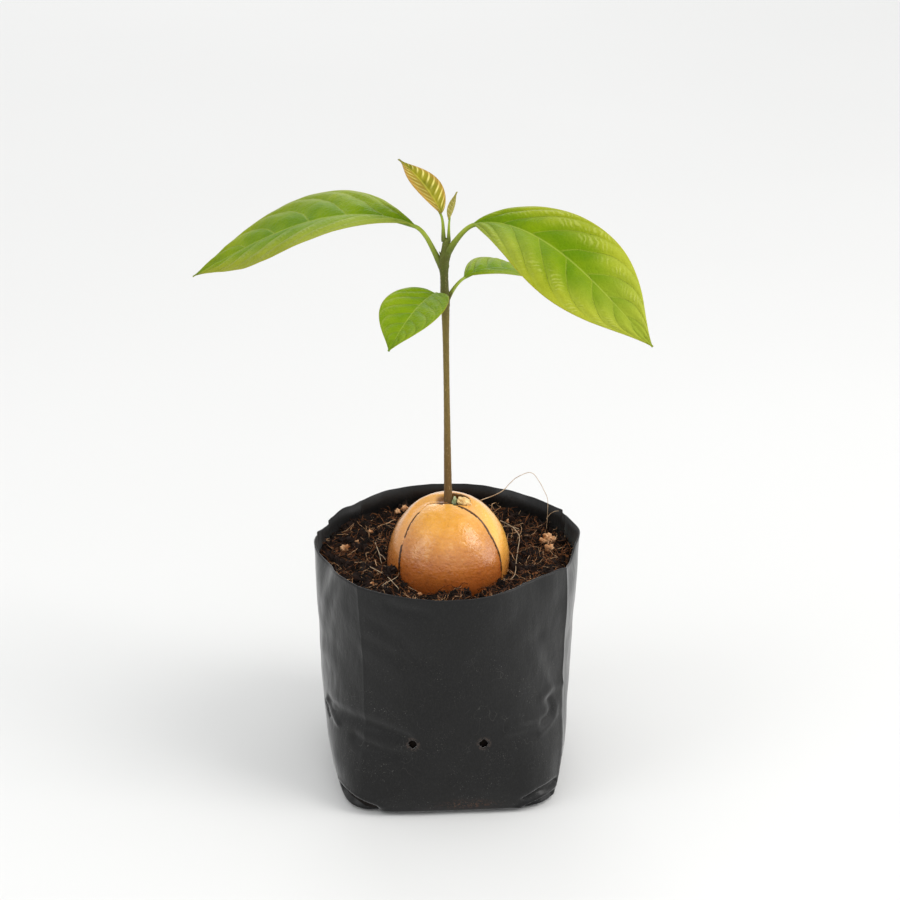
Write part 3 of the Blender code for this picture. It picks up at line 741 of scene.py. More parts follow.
def bag_radius(angle, level, inset):
    """How far the bag's wall lies from the axis, in a direction and at a level from 0 to 1."""
    wide = BASE_HALF + FOOT_FLARE * (1 - (1 - level) ** 8) + MOUTH_FLARE * level - inset
    deep = wide + BASE_DEEPER * (1 - level) ** 3
    power = 2 + (BASE_SQUARENESS - 2) * (1 - level) ** 5
    turned = np.radians(angle) - BASE_TURN
    section = ((np.abs(np.cos(turned)) / wide) ** power
               + (np.abs(np.sin(turned)) / deep) ** power) ** (-1 / power)
    ridge = sum(high * crest(angle, fold_direction(fold, level)) for fold, high in zip(FOLDS, FOLD_RIDGES))
    flat = FLAT_DEPTH * hump(angle, FLAT_DIRECTION, FLAT_WIDTH) * level ** 3
    for where, lean, width in RIM_LEANS:
        flat = flat + lean * hump(angle, where, width) * np.clip((level - 0.82) / 0.18, 0, 1) ** 2
    return section + ridge - flat


def bag_point(angle, level, radius):
    turn = np.radians(angle)
    return np.stack([radius * np.cos(turn) + BASE_SHIFT * (1 - level), radius * np.sin(turn)], -1)


# Creases pressed into the film: depth and width in mm, then direction in degrees and height in mm
CREASES = (
    (-1.3, 0.9, (-161, 33), (-156.5, 32.5), (-153, 31)),
    (0.6, 1.3, (-158, 35.5), (-149.5, 33.5), (-143, 31.5)),
    (-1.0, 2.6, (-154, 36), (-139.5, 37), (-128.5, 37.5), (-119, 37), (-111.5, 35.8), (-107, 34.5)),
    (-0.9, 2.4, (-131, 30), (-122, 28.6), (-114.5, 27.6), (-108, 27.2)),
    (0.4, 1.9, (-41.5, 44.5), (-35.5, 45.8), (-27, 45)),
    (-0.9, 1.8, (-37.5, 41.5), (-36.2, 38.0), (-38.5, 35.2), (-43, 34.5)),
    (0.4, 1.6, (-33.5, 37), (-34.5, 34.5), (-39.5, 32.5), (-45, 30.8)),
    (0.5, 2.0, (-62, 35.5), (-53.5, 35.2), (-46.5, 34.6)),
    (-0.22, 3.0, (-42, 70), (-36, 58), (-32, 46)),
    (0.16, 2.6, (-48, 66), (-41, 54), (-37, 47)),
    (-3.0, 2.0, (-139, 5.4), (-131, 5.0), (-126, 4.0), (-121, 2.6)),
    (0.4, 1.0, (-142, 8.6), (-133, 8.4), (-125, 7.2), (-117.5, 4.2)),
    (-1.7, 1.1, (-54, 5.8), (-48, 7.8), (-42, 8.2), (-38, 8.0)),
    (0.6, 0.7, (-57, 2.0), (-51, 4.4), (-45, 5.6), (-38, 5.8)),
    (-1.5, 0.9, (-53, 2.2), (-47, 3.2), (-40, 3.6)),
    (-1.9, 1.6, (140, 7.5), (131, 6), (123, 3)),
    (0.6, 0.9, (145, 10), (133, 10), (121, 6)),
    (-1.3, 1.3, (38, 7), (47, 6), (58, 3)),
    (0.7, 0.8, (36, 9.5), (47, 8.5), (60, 4)),
    (-1.0, 2.4, (148, 40), (136, 38), (120, 37)),
    (0.6, 2.0, (150, 44), (137, 42), (118, 40)),
    (-1.0, 2.4, (32, 38), (42, 36), (57, 34)),
    (0.5, 2.0, (30, 42), (42, 40), (59, 37)),
    (-0.30, 3.2, (-140, 93), (-150, 80), (-160, 62)),
    (0.30, 3.0, (-150, 92), (-156, 76), (-163, 56)),
    (-0.50, 2.2, (-114, 89.0), (-107.5, 88.0), (-99, 88.0)),
    (-0.34, 2.8, (-127, 72), (-117, 70), (-108, 65.5)),
    (-0.30, 2.4, (-109, 69), (-97, 67)),
    (-0.30, 2.8, (-123, 80.5), (-113, 77), (-105, 71)),
)
ARC = 0.0465


def crease_depth(angle, height):
    """How far the creases push the film out, at each direction and height."""
    out = np.zeros_like(height)
    for depth, width, *line in CREASES:
        nearest = np.full_like(height, 1e9)
        for (a0, h0), (a1, h1) in zip(line, line[1:]):
            middle = (a0 + a1) / 2
            u = np.radians((angle - middle + 180) % 360 - 180) * ARC
            start, end = np.radians(a0 - middle) * ARC, np.radians(a1 - middle) * ARC
            low, high = h0 / 1000, h1 / 1000
            run = (end - start) ** 2 + (high - low) ** 2
            share = np.clip(((u - start) * (end - start) + (height - low) * (high - low)) / run, 0, 1)
            gap = np.hypot(u - start - share * (end - start), height - low - share * (high - low))
            nearest = np.minimum(nearest, gap)
        out += depth / 1000 * np.exp(-(nearest / (width / 1000)) ** 2)
    return out


# Directions with closer columns, where the folds' crests run
CREST_COLUMNS = (-131, -129, 132.5, 25, -25)
EVEN_COLUMNS = 330
LOW_ROWS = 84
HIGH_ROWS = 46
LOW_SHARE = 0.53
INSIDE_ROWS = 26
FILM = 0.00045
RIM_WAVER = 0.00022
RIM_ROUND = 0.00012
SLACK_WAVES = 0.00042
INSIDE_FOOT = 0.0018
FOOT_LIFT = 0.0010
SMEAR_DIRECTION = -80
SMEAR_WIDTH = 10
SMEAR_HEIGHT = 0.0048
SMEAR_TALL = 0.0020


def film_relief(points, angle, height):
    """Creases, slack waves and fine wrinkles of the film, outwards in metres."""
    waves = np.array([noise.noise(Vector(p) * 55) + 0.5 * noise.noise(Vector(p) * 120) for p in points])
    fine = np.array([noise.noise(Vector((p[0] * 420, p[1] * 420, p[2] * 150))) for p in points])
    side = sum(hump(angle, where, 24) for where in (-160, 160, 0))
    calm = np.clip(height / 0.004, 0, 1)
    return calm * (SLACK_WAVES * waves + (0.00004 + 0.00005 * side) * fine) + crease_depth(angle, height)


def make_bag():
    """The film, from the middle of its foot up the wall, over the rim and down inside."""
    angles = np.concatenate([np.linspace(-180, 180, EVEN_COLUMNS, endpoint=False)]
                            + [fold + np.arange(-7, 8) * 0.3 + 0.13 for fold in CREST_COLUMNS]
                            + [step + np.array([-0.5, -0.12, 0.12]) for step, _, _ in RIM_STEPS])
    angles = np.unique(np.round(angles, 3))
    columns = len(angles)
    rim = rim_height(angles)
    around = [Vector((cos(radians(a)), sin(radians(a)), 0)) for a in angles]
    rim += RIM_WAVER * np.array([noise.noise(out * 9) for out in around])
    rows = []

    def ring(height, inset, relief=True):
        height = np.broadcast_to(np.asarray(height, float), angles.shape)
        level = np.minimum(height / BAG_HEIGHT, 1)
        radius = bag_radius(angles, level, 0) - inset
        flat = bag_point(angles, level, radius)
        if relief:
            radius = radius + film_relief(np.column_stack([flat, height]), angles, height)
            flat = bag_point(angles, level, radius)
        rows.append(np.column_stack([flat, height]))

    foot_edge = bag_point(angles, 0, bag_radius(angles, 0, BASE_EDGE))
    for share in np.linspace(0.04, 0.98, 9):
        lift = FOOT_LIFT * max(0.0, (share - 0.80) / 0.20) ** 1.5
        rows.append(np.column_stack([foot_edge * share, np.full(columns, lift)]))
    for turn in np.linspace(0, pi / 2, 5):
        ring(FOOT_LIFT + (BASE_EDGE - FOOT_LIFT) * (1 - cos(turn)), BASE_EDGE * (1 - sin(turn)))
    low_shares = np.linspace(0, LOW_SHARE, LOW_ROWS)[1:]
    for share in np.concatenate([low_shares, np.linspace(LOW_SHARE, 1, HIGH_ROWS)[1:]]):
        ring(BASE_EDGE + (rim - BASE_EDGE) * share, 0)
    top = rows[-1]
    inwards = -top[:, :2] / np.hypot(*top[:, :2].T)[:, None]
    rows.append(top + np.column_stack([inwards * FILM / 2, np.full(columns, RIM_ROUND)]))
    for share in np.linspace(1, 0, INSIDE_ROWS) ** 1.6:
        ring(INSIDE_FOOT + (rim - INSIDE_FOOT) * share, FILM + (BASE_EDGE - FILM) * (share == 0))
    inside_edge = rows[-1][:, :2]
    for share in (0.8, 0.5, 0.2, 0.04):
        rows.append(np.column_stack([inside_edge * share, np.full(columns, INSIDE_FOOT)]))
    points = np.concatenate(rows)
    faces = grid_faces(len(rows), columns, ring=True)
    faces.append(tuple(reversed(range(columns))))
    last = len(points) - columns
    faces.append(tuple(range(last, last + columns)))
    bag = loose_piece("bag_film", points, faces, finish("black_film", film))
    angle = np.degrees(np.arctan2(points[:, 1], points[:, 0]))
    band = np.exp(-((points[:, 2] - SMEAR_HEIGHT) / SMEAR_TALL) ** 2)
    smear = hump(angle, SMEAR_DIRECTION, SMEAR_WIDTH) * band
    mark(bag, "dirt", np.clip(smear * 0.8, 0, 1))
    return bag


def hole_cutter(x, side, seed):
    """A ragged plug, as wide as the tear that a punch leaves in film."""
    ring, count = [], 22
    for k in range(count):
        turn = 2 * pi * k / count
        radius = HOLE_RADIUS * (0.88 + 0.30 * noise.noise(Vector((cos(turn) * 1.9, sin(turn) * 1.9, seed))))
        ring.append((x + radius * cos(turn), HOLE_HEIGHT + radius * sin(turn)))
    near, far = side * 0.034, side * 0.056
    points = [(u, near, w) for u, w in ring] + [(u, far, w) for u, w in ring]
    faces = grid_faces(2, count, ring=True) + [tuple(reversed(range(count))), tuple(range(count, 2 * count))]
    return faces_outward(loose_piece("hole_cutter", points, faces))


# Potting mix
def mix_height(x, y):
    out = hypot(x, y) / (BASE_HALF + FOOT_FLARE)
    back = 0.75 + 0.25 * sin(atan2(y, x))
    lump = noise.noise(Vector((x, y, 0)) / MIX_LUMP_SIZE)
    return MIX_LEVEL + MIX_BANK * out ** 2 * back + MIX_LUMP * lump


# Where the mix is pushed up against the seed or sinks before it: place, width and rise
MIX_BANKS = ((-0.0215, -0.0125, 0.0055, 0.0040), (-0.0110, -0.0235, 0.0048, -0.0030),
             (-0.0045, -0.0255, 0.0040, -0.0020), (0.0045, -0.0262, 0.0030, 0.0034),
             (0.0115, -0.0250, 0.0050, -0.0044), (0.0195, -0.0185, 0.0040, -0.0016),
             (0.0160, -0.0220, 0.0016, 0.0024))


CLOD_HEIGHT = 0.0021
GRIT_HEIGHT = 0.0007
MIX_SINKS = 0.0012


def rough_mix_height(x, y):
    """The mix's level with the clods and hollows that the plain solid leaves out."""
    clod = noise.noise(Vector((x, y, 0.3)) * 190) * CLOD_HEIGHT
    grit = noise.noise(Vector((x, y, 0.7)) * 600) * GRIT_HEIGHT
    bank = sum(rise * exp(-((x - u) ** 2 + (y - v) ** 2) / wide ** 2) for u, v, wide, rise in MIX_BANKS)
    return mix_height(x, y) + clod + grit + bank - MIX_SINKS


MIX_STANDS_BACK = 0.0016
CLEAR_OF_FILM = 0.0006
PATCHINESS = 9.0
CRUMB_TILT = 3.0
MIX_COLUMNS = 260
MIX_RINGS = 84


def make_mix_bed(material):
    """The bed of mix: its rough top, and the hidden sides and foot that close it."""
    angles = np.linspace(-180, 180, MIX_COLUMNS, endpoint=False)
    inset = FILM + GAP / 2
    rows = []
    for height in (0.0026, 0.006, 0.016, 0.032, 0.050, 0.068, 0.078):
        level = height / BAG_HEIGHT
        radius = bag_radius(angles, level, 0) - inset - MIX_STANDS_BACK
        rows.append(np.column_stack([bag_point(angles, level, radius), np.full(MIX_COLUMNS, height)]))
    level = MIX_LEVEL / BAG_HEIGHT
    edge = bag_point(angles, level, bag_radius(angles, level, 0) - inset)
    for share in np.linspace(1, 0.01, MIX_RINGS):
        flat = edge * share
        rows.append(np.column_stack([flat, [rough_mix_height(x, y) for x, y in flat]]))
    points = np.concatenate(rows)
    faces = grid_faces(len(rows), MIX_COLUMNS, ring=True)
    faces.append(tuple(reversed(range(MIX_COLUMNS))))
    last = len(points) - MIX_COLUMNS
    faces.append(tuple(range(last, last + MIX_COLUMNS)))
    return loose_piece("mix_bed", points, faces, material)


def open_ground():
    """The part of the mix's top that isn't under the seed, to strew on."""
    columns, rings = 160, 40
    angles = np.linspace(-180, 180, columns, endpoint=False)
    level = MIX_LEVEL / BAG_HEIGHT
    edge = bag_point(angles, level, bag_radius(angles, level, 0) - FILM - CLEAR_OF_FILM)
    inner = np.column_stack([np.cos(np.radians(angles)), np.sin(np.radians(angles))]) * (SEED_RADIUS + 0.0002)
    rows = []
    for share in np.linspace(1, 0, rings):
        flat = edge * share + inner * (1 - share)
        rows.append(np.column_stack([flat, [rough_mix_height(x, y) for x, y in flat]]))
    return loose_piece("open_ground", np.concatenate(rows), grid_faces(rings, columns, ring=True))


def strew_group():
    """Geometry nodes that strew copies of one small thing over a surface and make them real."""
    tree = bpy.data.node_groups.new("Strew over the mix", "GeometryNodeTree")
    sockets = (("Surface", "NodeSocketGeometry"), ("Thing", "NodeSocketObject"),
               ("Density", "NodeSocketFloat"), ("Smallest", "NodeSocketFloat"),
               ("Largest", "NodeSocketFloat"), ("Tilt", "NodeSocketFloat"),
               ("Patchiness", "NodeSocketFloat"), ("Seed", "NodeSocketInt"),
               ("Finish", "NodeSocketMaterial"))
    for label, kind in sockets:
        tree.interface.new_socket(label, in_out="INPUT", socket_type=kind)
    tree.interface.new_socket("Strewn", in_out="OUTPUT", socket_type="NodeSocketGeometry")
    given = tree.nodes.new("NodeGroupInput").outputs
    handed = tree.nodes.new("NodeGroupOutput")
    recipe = Recipe(tree)
    patch = recipe.put("ShaderNodeTexNoise", {"W": given["Seed"], "Scale": 150.0, "Detail": 1.0},
                       noise_dimensions="4D")
    patch = recipe.plus(1.0, recipe.times(recipe.minus(patch, 0.5), given["Patchiness"]))
    density = recipe.times(given["Density"], recipe.sum("MAXIMUM", patch, 0.0))
    spots = recipe.put("GeometryNodeDistributePointsOnFaces", {
        "Mesh": given["Surface"], "Density": density, "Seed": given["Seed"]}).node
    thing = recipe.put("GeometryNodeObjectInfo", {"Object": given["Thing"]}, "Geometry")
    tilt_low = recipe.times(given["Tilt"], -1.0)
    low = recipe.put("ShaderNodeCombineXYZ", {"X": tilt_low, "Y": tilt_low, "Z": 0.0})
    high = recipe.put("ShaderNodeCombineXYZ", {"X": given["Tilt"], "Y": given["Tilt"], "Z": 2 * pi})
    turn = recipe.put("FunctionNodeRandomValue", {0: low, 1: high, "Seed": given["Seed"]},
                      data_type="FLOAT_VECTOR")
    turned = recipe.put("FunctionNodeRotateRotation", {
        "Rotation": spots.outputs["Rotation"],
        "Rotate By": recipe.put("FunctionNodeEulerToRotation", {"Euler": turn})}, rotation_space="LOCAL")
    size = recipe.put("FunctionNodeRandomValue", {2: given["Smallest"], 3: given["Largest"],
                                                  "Seed": given["Seed"]}, 1, data_type="FLOAT")
    copies = recipe.put("GeometryNodeInstanceOnPoints", {
        "Points": spots.outputs["Points"], "Instance": thing, "Rotation": turned, "Scale": size})
    real = recipe.put("GeometryNodeRealizeInstances", {"Geometry": copies})
    coloured = recipe.put("GeometryNodeSetMaterial", {"Geometry": real, "Material": given["Finish"]})
    tree.links.new(coloured, handed.inputs["Strewn"])
    return tree


def strewn(name, group, ground, thing, material, density, sizes, tilt, seed):
    """Strews a thing over a copy of the ground, and keeps the result as a plain mesh."""
    piece = bpy.data.objects.new(name, ground.data.copy())
    bpy.context.scene.collection.objects.link(piece)
    step = piece.modifiers.new("strew", "NODES")
    step.node_group = group
    values = {"Thing": thing, "Density": density, "Smallest": sizes[0], "Largest": sizes[1], "Tilt": tilt,
              "Patchiness": PATCHINESS, "Seed": seed, "Finish": material}
    for item in group.interface.items_tree:
        if item.in_out == "INPUT" and item.name in values:
            step[item.identifier] = values[item.name]
    applied(piece)
    piece.data.materials.clear()
    piece.data.materials.append(material)
    piece.data.polygons.foreach_set("material_index", [0] * len(piece.data.polygons))
    set_points(piece, held_in_bag(points_of(piece)))
    return piece


def held_in_bag(points):
    """Moves what would stick out through the film back inside it."""
    angle = np.degrees(np.arctan2(points[:, 1], points[:, 0]))
    level = np.clip(points[:, 2] / BAG_HEIGHT, 0, 1)
    most = bag_radius(angle, level, 0) - FILM - CLEAR_OF_FILM
    radius = np.hypot(points[:, 0], points[:, 1])
    points[:, :2] *= np.minimum(1, most / np.maximum(radius, 1e-6))[:, None]
    return points


def merged(name, pieces):
    """Several strewn pieces as one."""
    bm = bmesh.new()
    for piece in pieces:
        bm.from_mesh(piece.data)
    whole = piece_of(bm, name, pieces[0].data.materials[0])
    for piece in pieces:
        bpy.data.objects.remove(piece)
    return whole


FIBRE_LENGTH = 0.0075
FIBRE_THICK = 0.00011


def crumb(name, seed, fineness):
    """A clod about 2 mm across, uneven, with more faces where it is to be a big one."""
    bm = bmesh.new()
    bmesh.ops.create_icosphere(bm, subdivisions=fineness, radius=0.001)
    for vertex in bm.verts:
        swell = 1 + 0.9 * noise.noise(vertex.co * 900 + Vector((seed, seed, 0)))
        swell += 0.5 * (fineness - 1) * noise.noise(vertex.co * 2600 + Vector((0, seed, seed)))
        vertex.co = Vector((vertex.co.x * swell, vertex.co.y * swell * 0.85, vertex.co.z * swell * 0.75))
    return piece_of(bm, name)


def fibre(name, seed):
    """A coir fibre: thin, bent and a little lifted at one end."""
    count = 7
    path = []
    for i in range(count):
        t = i / (count - 1) - 0.5
        bend = noise.noise(Vector((t * 2.6, seed, 0.2))) * 0.0026
        lift = 0.0002 + abs(noise.noise(Vector((t * 2.0, seed, 5.2)))) * 0.0022
        path.append((t * FIBRE_LENGTH, bend, lift))
    radii = [FIBRE_THICK * (0.55 + 0.45 * sin(pi * i / (count - 1))) for i in range(count)]
    points, faces = limb(path, radii, 3)
    return loose_piece(name, points, faces)


def make_strewn_mix():
    """Crumbs and fibres over the open ground, each kind in its own browns."""
    group = strew_group()
    ground = open_ground()
    ground_area = sum(face.area for face in ground.data.polygons)
    done = []
    crumb_kinds = (("clod", "0e0805", "2a1a13", 160, (1.1, 2.5), 3),
                   ("dark", "090503", "1e120b", 1900, (0.4, 1.3), 1),
                   ("brown", "301b0f", "5c3720", 800, (0.3, 0.9), 1),
                   ("chestnut", "7c4a29", "b87b4c", 420, (0.3, 0.8), 1))
    for number, (kind, dark, light, count, sizes, fineness) in enumerate(crumb_kinds):
        material = finish("crumb_" + kind, soil(dark, light))
        thing = crumb("one_crumb", 3.1 * number + 0.7, fineness)
        piece = strewn("mix_crumbs_" + kind, group, ground, thing, material, count / ground_area, sizes,
                       CRUMB_TILT, 11 + number)
        bpy.data.objects.remove(thing)
        done.append(piece)
    fibre_kinds = (("dark", "120a05", "24140b", 1500, 0.9), ("chestnut", "4c2a16", "935f3a", 1250, 0.8),
                   ("tan", "a07248", "e8c098", 330, 0.7))
    for number, (kind, dark, light, count, tilt) in enumerate(fibre_kinds):
        material = finish("fibre_" + kind, soil(dark, light, 0.0001))
        some = []
        for shape in range(4):
            thing = fibre("one_fibre", 7.3 * shape + number)
            some.append(strewn("some_fibres", group, ground, thing, material, count / 4 / ground_area,
                               (0.4, 1.35), tilt, 31 + 4 * number + shape))
            bpy.data.objects.remove(thing)
        done.append(merged("mix_fibres_" + kind, some))
    bpy.data.objects.remove(ground)
    return done


# Bark chips: place on the mix, size and height, in mm
CHIPS = ((-39.5, 8.7, 1.8, 1.6), (-37.0, 14.1, 1.1, 0.9), (-35.0, 14.9, 1.0, 0.9), (-19.6, 40.6, 1.5, 1.2),
         (-17.0, 42.6, 1.6, 1.5), (-15.0, 40.0, 1.2, 1.0), (39.0, 16.4, 2.2, 2.0), (36.9, 15.4, 1.4, 1.2),
         (41.0, 15.0, 1.5, 1.4), (39.6, 8.6, 1.9, 1.4), (-28.2, -20.4, 1.2, 0.9), (-10.1, -28.0, 0.8, 0.6),
         (24.0, 33.0, 1.1, 0.9), (-30.0, 24.0, 1.0, 0.8))


def make_chips():
    parts = []
    for number, (x, y, size, tall) in enumerate(CHIPS):
        bm = bmesh.new()
        bmesh.ops.create_icosphere(bm, subdivisions=3, radius=1)
        turn = Matrix.Rotation(number * 1.7, 4, "Z") @ Matrix.Rotation(0.3, 4, "X")
        for vertex in bm.verts:
            lobe = vertex.co.normalized()
            rough = 0.92 + 0.60 * noise.noise(lobe * 1.9 + Vector((number * 3.3, 0, 0)))
            rough += 0.34 * noise.noise(lobe * 4.6 + Vector((0, number * 2.1, 0)))
            scaled = Vector((vertex.co.x * size, vertex.co.y * size * 0.72, vertex.co.z * tall))
            vertex.co = turn @ scaled * rough
            vertex.co = vertex.co / 1000 + Vector((x / 1000, y / 1000, mix_height(x / 1000, y / 1000)
                                                   + tall / 2600))
        bm.verts.ensure_lookup_table()
        points = held_in_bag(np.array([v.co[:] for v in bm.verts]))
        parts.append((points, [tuple(v.index for v in f.verts) for f in bm.faces]))
        bm.free()
    return joined("bark_chips", parts, finish("bark_chip", soil("a3683c", "efbd8e", 0.0012)))


# Seed
def seed_egg(name, top):
    bm = bmesh.new()
    bmesh.ops.create_uvsphere(bm, u_segments=144, v_segments=96, radius=1)
    for vertex in bm.verts:
        tall = top if vertex.co.z > 0 else SEED_BELOW
        vertex.co = Vector((vertex.co.x * SEED_RADIUS + SEED_X, vertex.co.y * SEED_RADIUS,
                            vertex.co.z * tall + SEED_LEVEL))
    return piece_of(bm, name)


def crack_frame():
    return (Matrix.Translation(CRACK_POINT) @ Matrix.Rotation(CRACK_TURN, 4, "Z")
            @ Matrix.Rotation(-CRACK_LEAN, 4, "X"))


# How far the crack bows out of its plane, left and right of the stem: height from CRACK_POINT and bow, in mm
CRACK_BOW_LEFT = ((-29, 0.3), (-23, -0.9), (-18.5, -1.7), (-11, -1.5), (-5.5, 0.0), (-2.9, 0.9), (0.4, 3.2))
CRACK_BOW_RIGHT = ((-29, 0.5), (-26, -0.7), (-20.5, -2.3), (-16, -3.5), (-12, -4.1), (-7.3, -3.5),
                   (-3.4, -2.5), (-1, -1.3), (2, 0.0))


def crack_bow(x, z):
    """How far the crack lies behind its plane, at places on the plane."""
    left = np.interp(z * 1000, *zip(*CRACK_BOW_LEFT)) * np.clip((-x - 0.0022) / 0.0045, 0, 1)
    right = np.interp(z * 1000, *zip(*CRACK_BOW_RIGHT)) * np.clip((x - 0.0010) / 0.0040, 0, 1)
    return (left + right) / 1000


# The crack's width, in the same way. Left of the stem it all but closes in one place and narrows in another.
CRACK_OPEN_LEFT = ((-29, 0.70), (-19, 0.55), (-15.6, 0.45), (-14.6, 0.0), (-13.2, 0.0), (-12.2, 0.25),
                   (-3.4, 0.30), (-2.4, 0.12), (-0.4, 0.22), (0.4, 0.4))
CRACK_OPEN_RIGHT = ((-29, 0.25), (-20, 0.30), (-17, 0.24), (-7, 0.28), (-2, 0.42), (2, 0.55))


def crack_opening(x, z):
    left = np.interp(z * 1000, *zip(*CRACK_OPEN_LEFT))
    right = np.interp(z * 1000, *zip(*CRACK_OPEN_RIGHT))
    share = np.clip((x + 0.002) / 0.004, 0, 1)
    return (left * (1 - share) + right * share) / 1000


def crack_block(side):
    """A block that fills one side of the crack. Its inner face bows as the crack does."""
    count, reach = 121, 0.06
    x, z = np.meshgrid(np.linspace(-reach, reach, count), np.linspace(-reach, reach, count))
    half_open = side * np.maximum(crack_opening(x, z), 0.00006) / 2
    inner = np.stack([x, crack_bow(x, z) - half_open, z], -1).reshape(-1, 3)
    outer = np.stack([x, np.full_like(x, side * 0.1), z], -1).reshape(-1, 3)
    total = count * count
    faces = grid_faces(count, count) + grid_faces(count, count, first=total, flip=True)
    faces += border_faces(count, count)
    block = loose_piece("crack_block", np.concatenate([inner, outer]), faces)
    block.data.transform(crack_frame())
    return faces_outward(block)


def hollow_cutter():
    bm = bmesh.new()
    bmesh.ops.create_uvsphere(bm, u_segments=48, v_segments=32, radius=1)
    for vertex in bm.verts:
        vertex.co *= 1 + 0.10 * noise.noise(vertex.co * 2.3)
    bm.transform(Matrix.Translation(HOLLOW_CENTRE) @ Matrix.Diagonal((*HOLLOW_SIZE, 1)))
    return piece_of(bm, "hollow_cutter")


SEED_GRAIN = 0.00036
SHOULDER = 0.0034
CRACK_WANDER = 0.00030
LIP_REACH = 0.0012
LIT_BRINK_REACH = 0.0020


def in_crack_frame(points):
    """Points as the bowed crack sees them: its second axis runs from the front half to the rear one."""
    back = np.array(crack_frame().inverted())
    local = points @ back[:3, :3].T + back[:3, 3]
    local[:, 1] -= crack_bow(local[:, 0], local[:, 2])
    return local


def shouldered(points):
    """The rear half sinks to the front half's height where the two meet."""
    behind = np.clip(in_crack_frame(points)[:, 1] / SHOULDER, 0, 1)
    share = behind * behind * (3 - 2 * behind)
    scale = (SEED_FRONT_TOP + (SEED_REAR_TOP - SEED_FRONT_TOP) * share) / SEED_REAR_TOP
    above = points[:, 2] > SEED_LEVEL
    points[above, 2] = SEED_LEVEL + (points[above, 2] - SEED_LEVEL) * scale[above]
    return points


def seed_half(name, top, cutters, rear, material):
    """One half of the seed, its edges rounded as thick skin is, with a wandering crack."""
    egg = seed_egg(name, top)
    if rear:
        set_points(egg, shouldered(points_of(egg)))
    half = cut(egg, *cutters)
    shell = half.modifiers.new("even_mesh", "REMESH")
    shell.mode = "VOXEL"
    shell.voxel_size = SEED_GRAIN
    soft = half.modifiers.new("round_lips", "SMOOTH")
    soft.factor = 0.5
    soft.iterations = 2
    applied(half)
    half.data.materials.clear()
    half.data.materials.append(material)
    half.data.shade_smooth()
    points = points_of(half)
    normals = np.empty(len(points) * 3)
    half.data.vertices.foreach_get("normal", normals)
    normals = normals.reshape(-1, 3)
    place = crack_frame()
    local = in_crack_frame(points)
    near = np.exp(-(local[:, 1] / LIP_REACH) ** 2)
    wander = np.array([noise.noise(Vector((p[0], p[2], 0)) * 260) for p in local])
    step = CRACK_WANDER * wander
    across = np.array(place.to_3x3() @ Vector((0, 1, 0)))
    swell = np.array([0.00005 * noise.noise(Vector(p) * 300) + 0.00020 * noise.noise(Vector(p) * 110)
                      for p in points])
    points = points + near[:, None] * step[:, None] * across + normals * swell[:, None]
    set_points(half, points)
    inside = normals @ across * (1 if not rear else -1)
    # Mask of the crack's walls for painted shade, stronger where the crack gapes.
    gaping = np.clip(crack_opening(local[:, 0], local[:, 2]) / 0.00028, 0.12, 1)
    mark(half, "crack_wall_shade", np.clip((inside - 0.5) / 0.4, 0, 1) * (np.abs(local[:, 1]) < LIP_REACH) * gaping)
    mark(half, "rear", np.full(len(points), 1.0 if rear else 0.0))
    # Mask of the front half's edge by the crack, for a painted highlight.
    mark(half, "painted_lit_brink", np.exp(-(local[:, 1] / LIT_BRINK_REACH) ** 2) * (not rear))
    return half


def lump(name, centre, size, material, seed, rough, lean):
    """A small uneven scrap: a crumb of skin or a bud."""
    bm = bmesh.new()
    bmesh.ops.create_icosphere(bm, subdivisions=4, radius=1)
    turn = (Matrix.Rotation(lean[0], 3, "X") @ Matrix.Rotation(lean[1], 3, "Y")
            @ Matrix.Rotation(lean[2], 3, "Z"))
    for vertex in bm.verts:
        swell = 1 + rough * noise.noise(vertex.co * 1.8 + Vector((seed, 0, 0)))
        swell += rough * 0.4 * noise.noise(vertex.co * 5 + Vector((0, seed, 0)))
        vertex.co = turn @ Vector([c * s * swell for c, s in zip(vertex.co, size)]) + Vector(centre)
    points = [v.co.copy() for v in bm.verts]
    faces = [tuple(v.index for v in f.verts) for f in bm.faces]
    bm.free()
    return loose_piece(name, points, faces, material)


# Stem, stalks and leaves

# Small scales in the leaf axils: foot and tip
BUD_SCALES = (((-0.0016, -0.0006, 0.2074), (-0.0029, -0.0008, 0.2104)),
              ((-0.0009, 0.0004, 0.2136), (-0.0020, 0.0004, 0.2170)),
              ((0.0008, -0.0008, 0.1925), (0.0020, -0.0011, 0.1950)))
STEM_KNOTS = (0.1895, 0.1908, 0.2042, 0.2088)


def make_stem(material):
    stations = smooth_line(STEM_STATIONS + STEM_TOP, 240)
    path = [Vector((x, 0.00006 * sin(z * 420), z)) for x, z, _ in stations]
    radii = []
    for x, z, diameter in stations:
        knot = sum(0.10 * exp(-((z - where) / 0.0007) ** 2) for where in STEM_KNOTS)
        radii.append(diameter / 2 * (1 + knot + 0.05 * exp(-((z - 0.1105) / 0.0012) ** 2)))
    parts = [limb(path, radii, 28, 0.05)]
    for root, tip in BUD_SCALES:
        scale_path = [Vector(root).lerp(Vector(tip), t) for t in np.linspace(0, 1, 7)]
        parts.append(limb(scale_path, [0.0005, 0.00048, 0.00042, 0.00034, 0.00026, 0.00018, 0.00006], 8))
    return joined("stem_wood", parts, material)


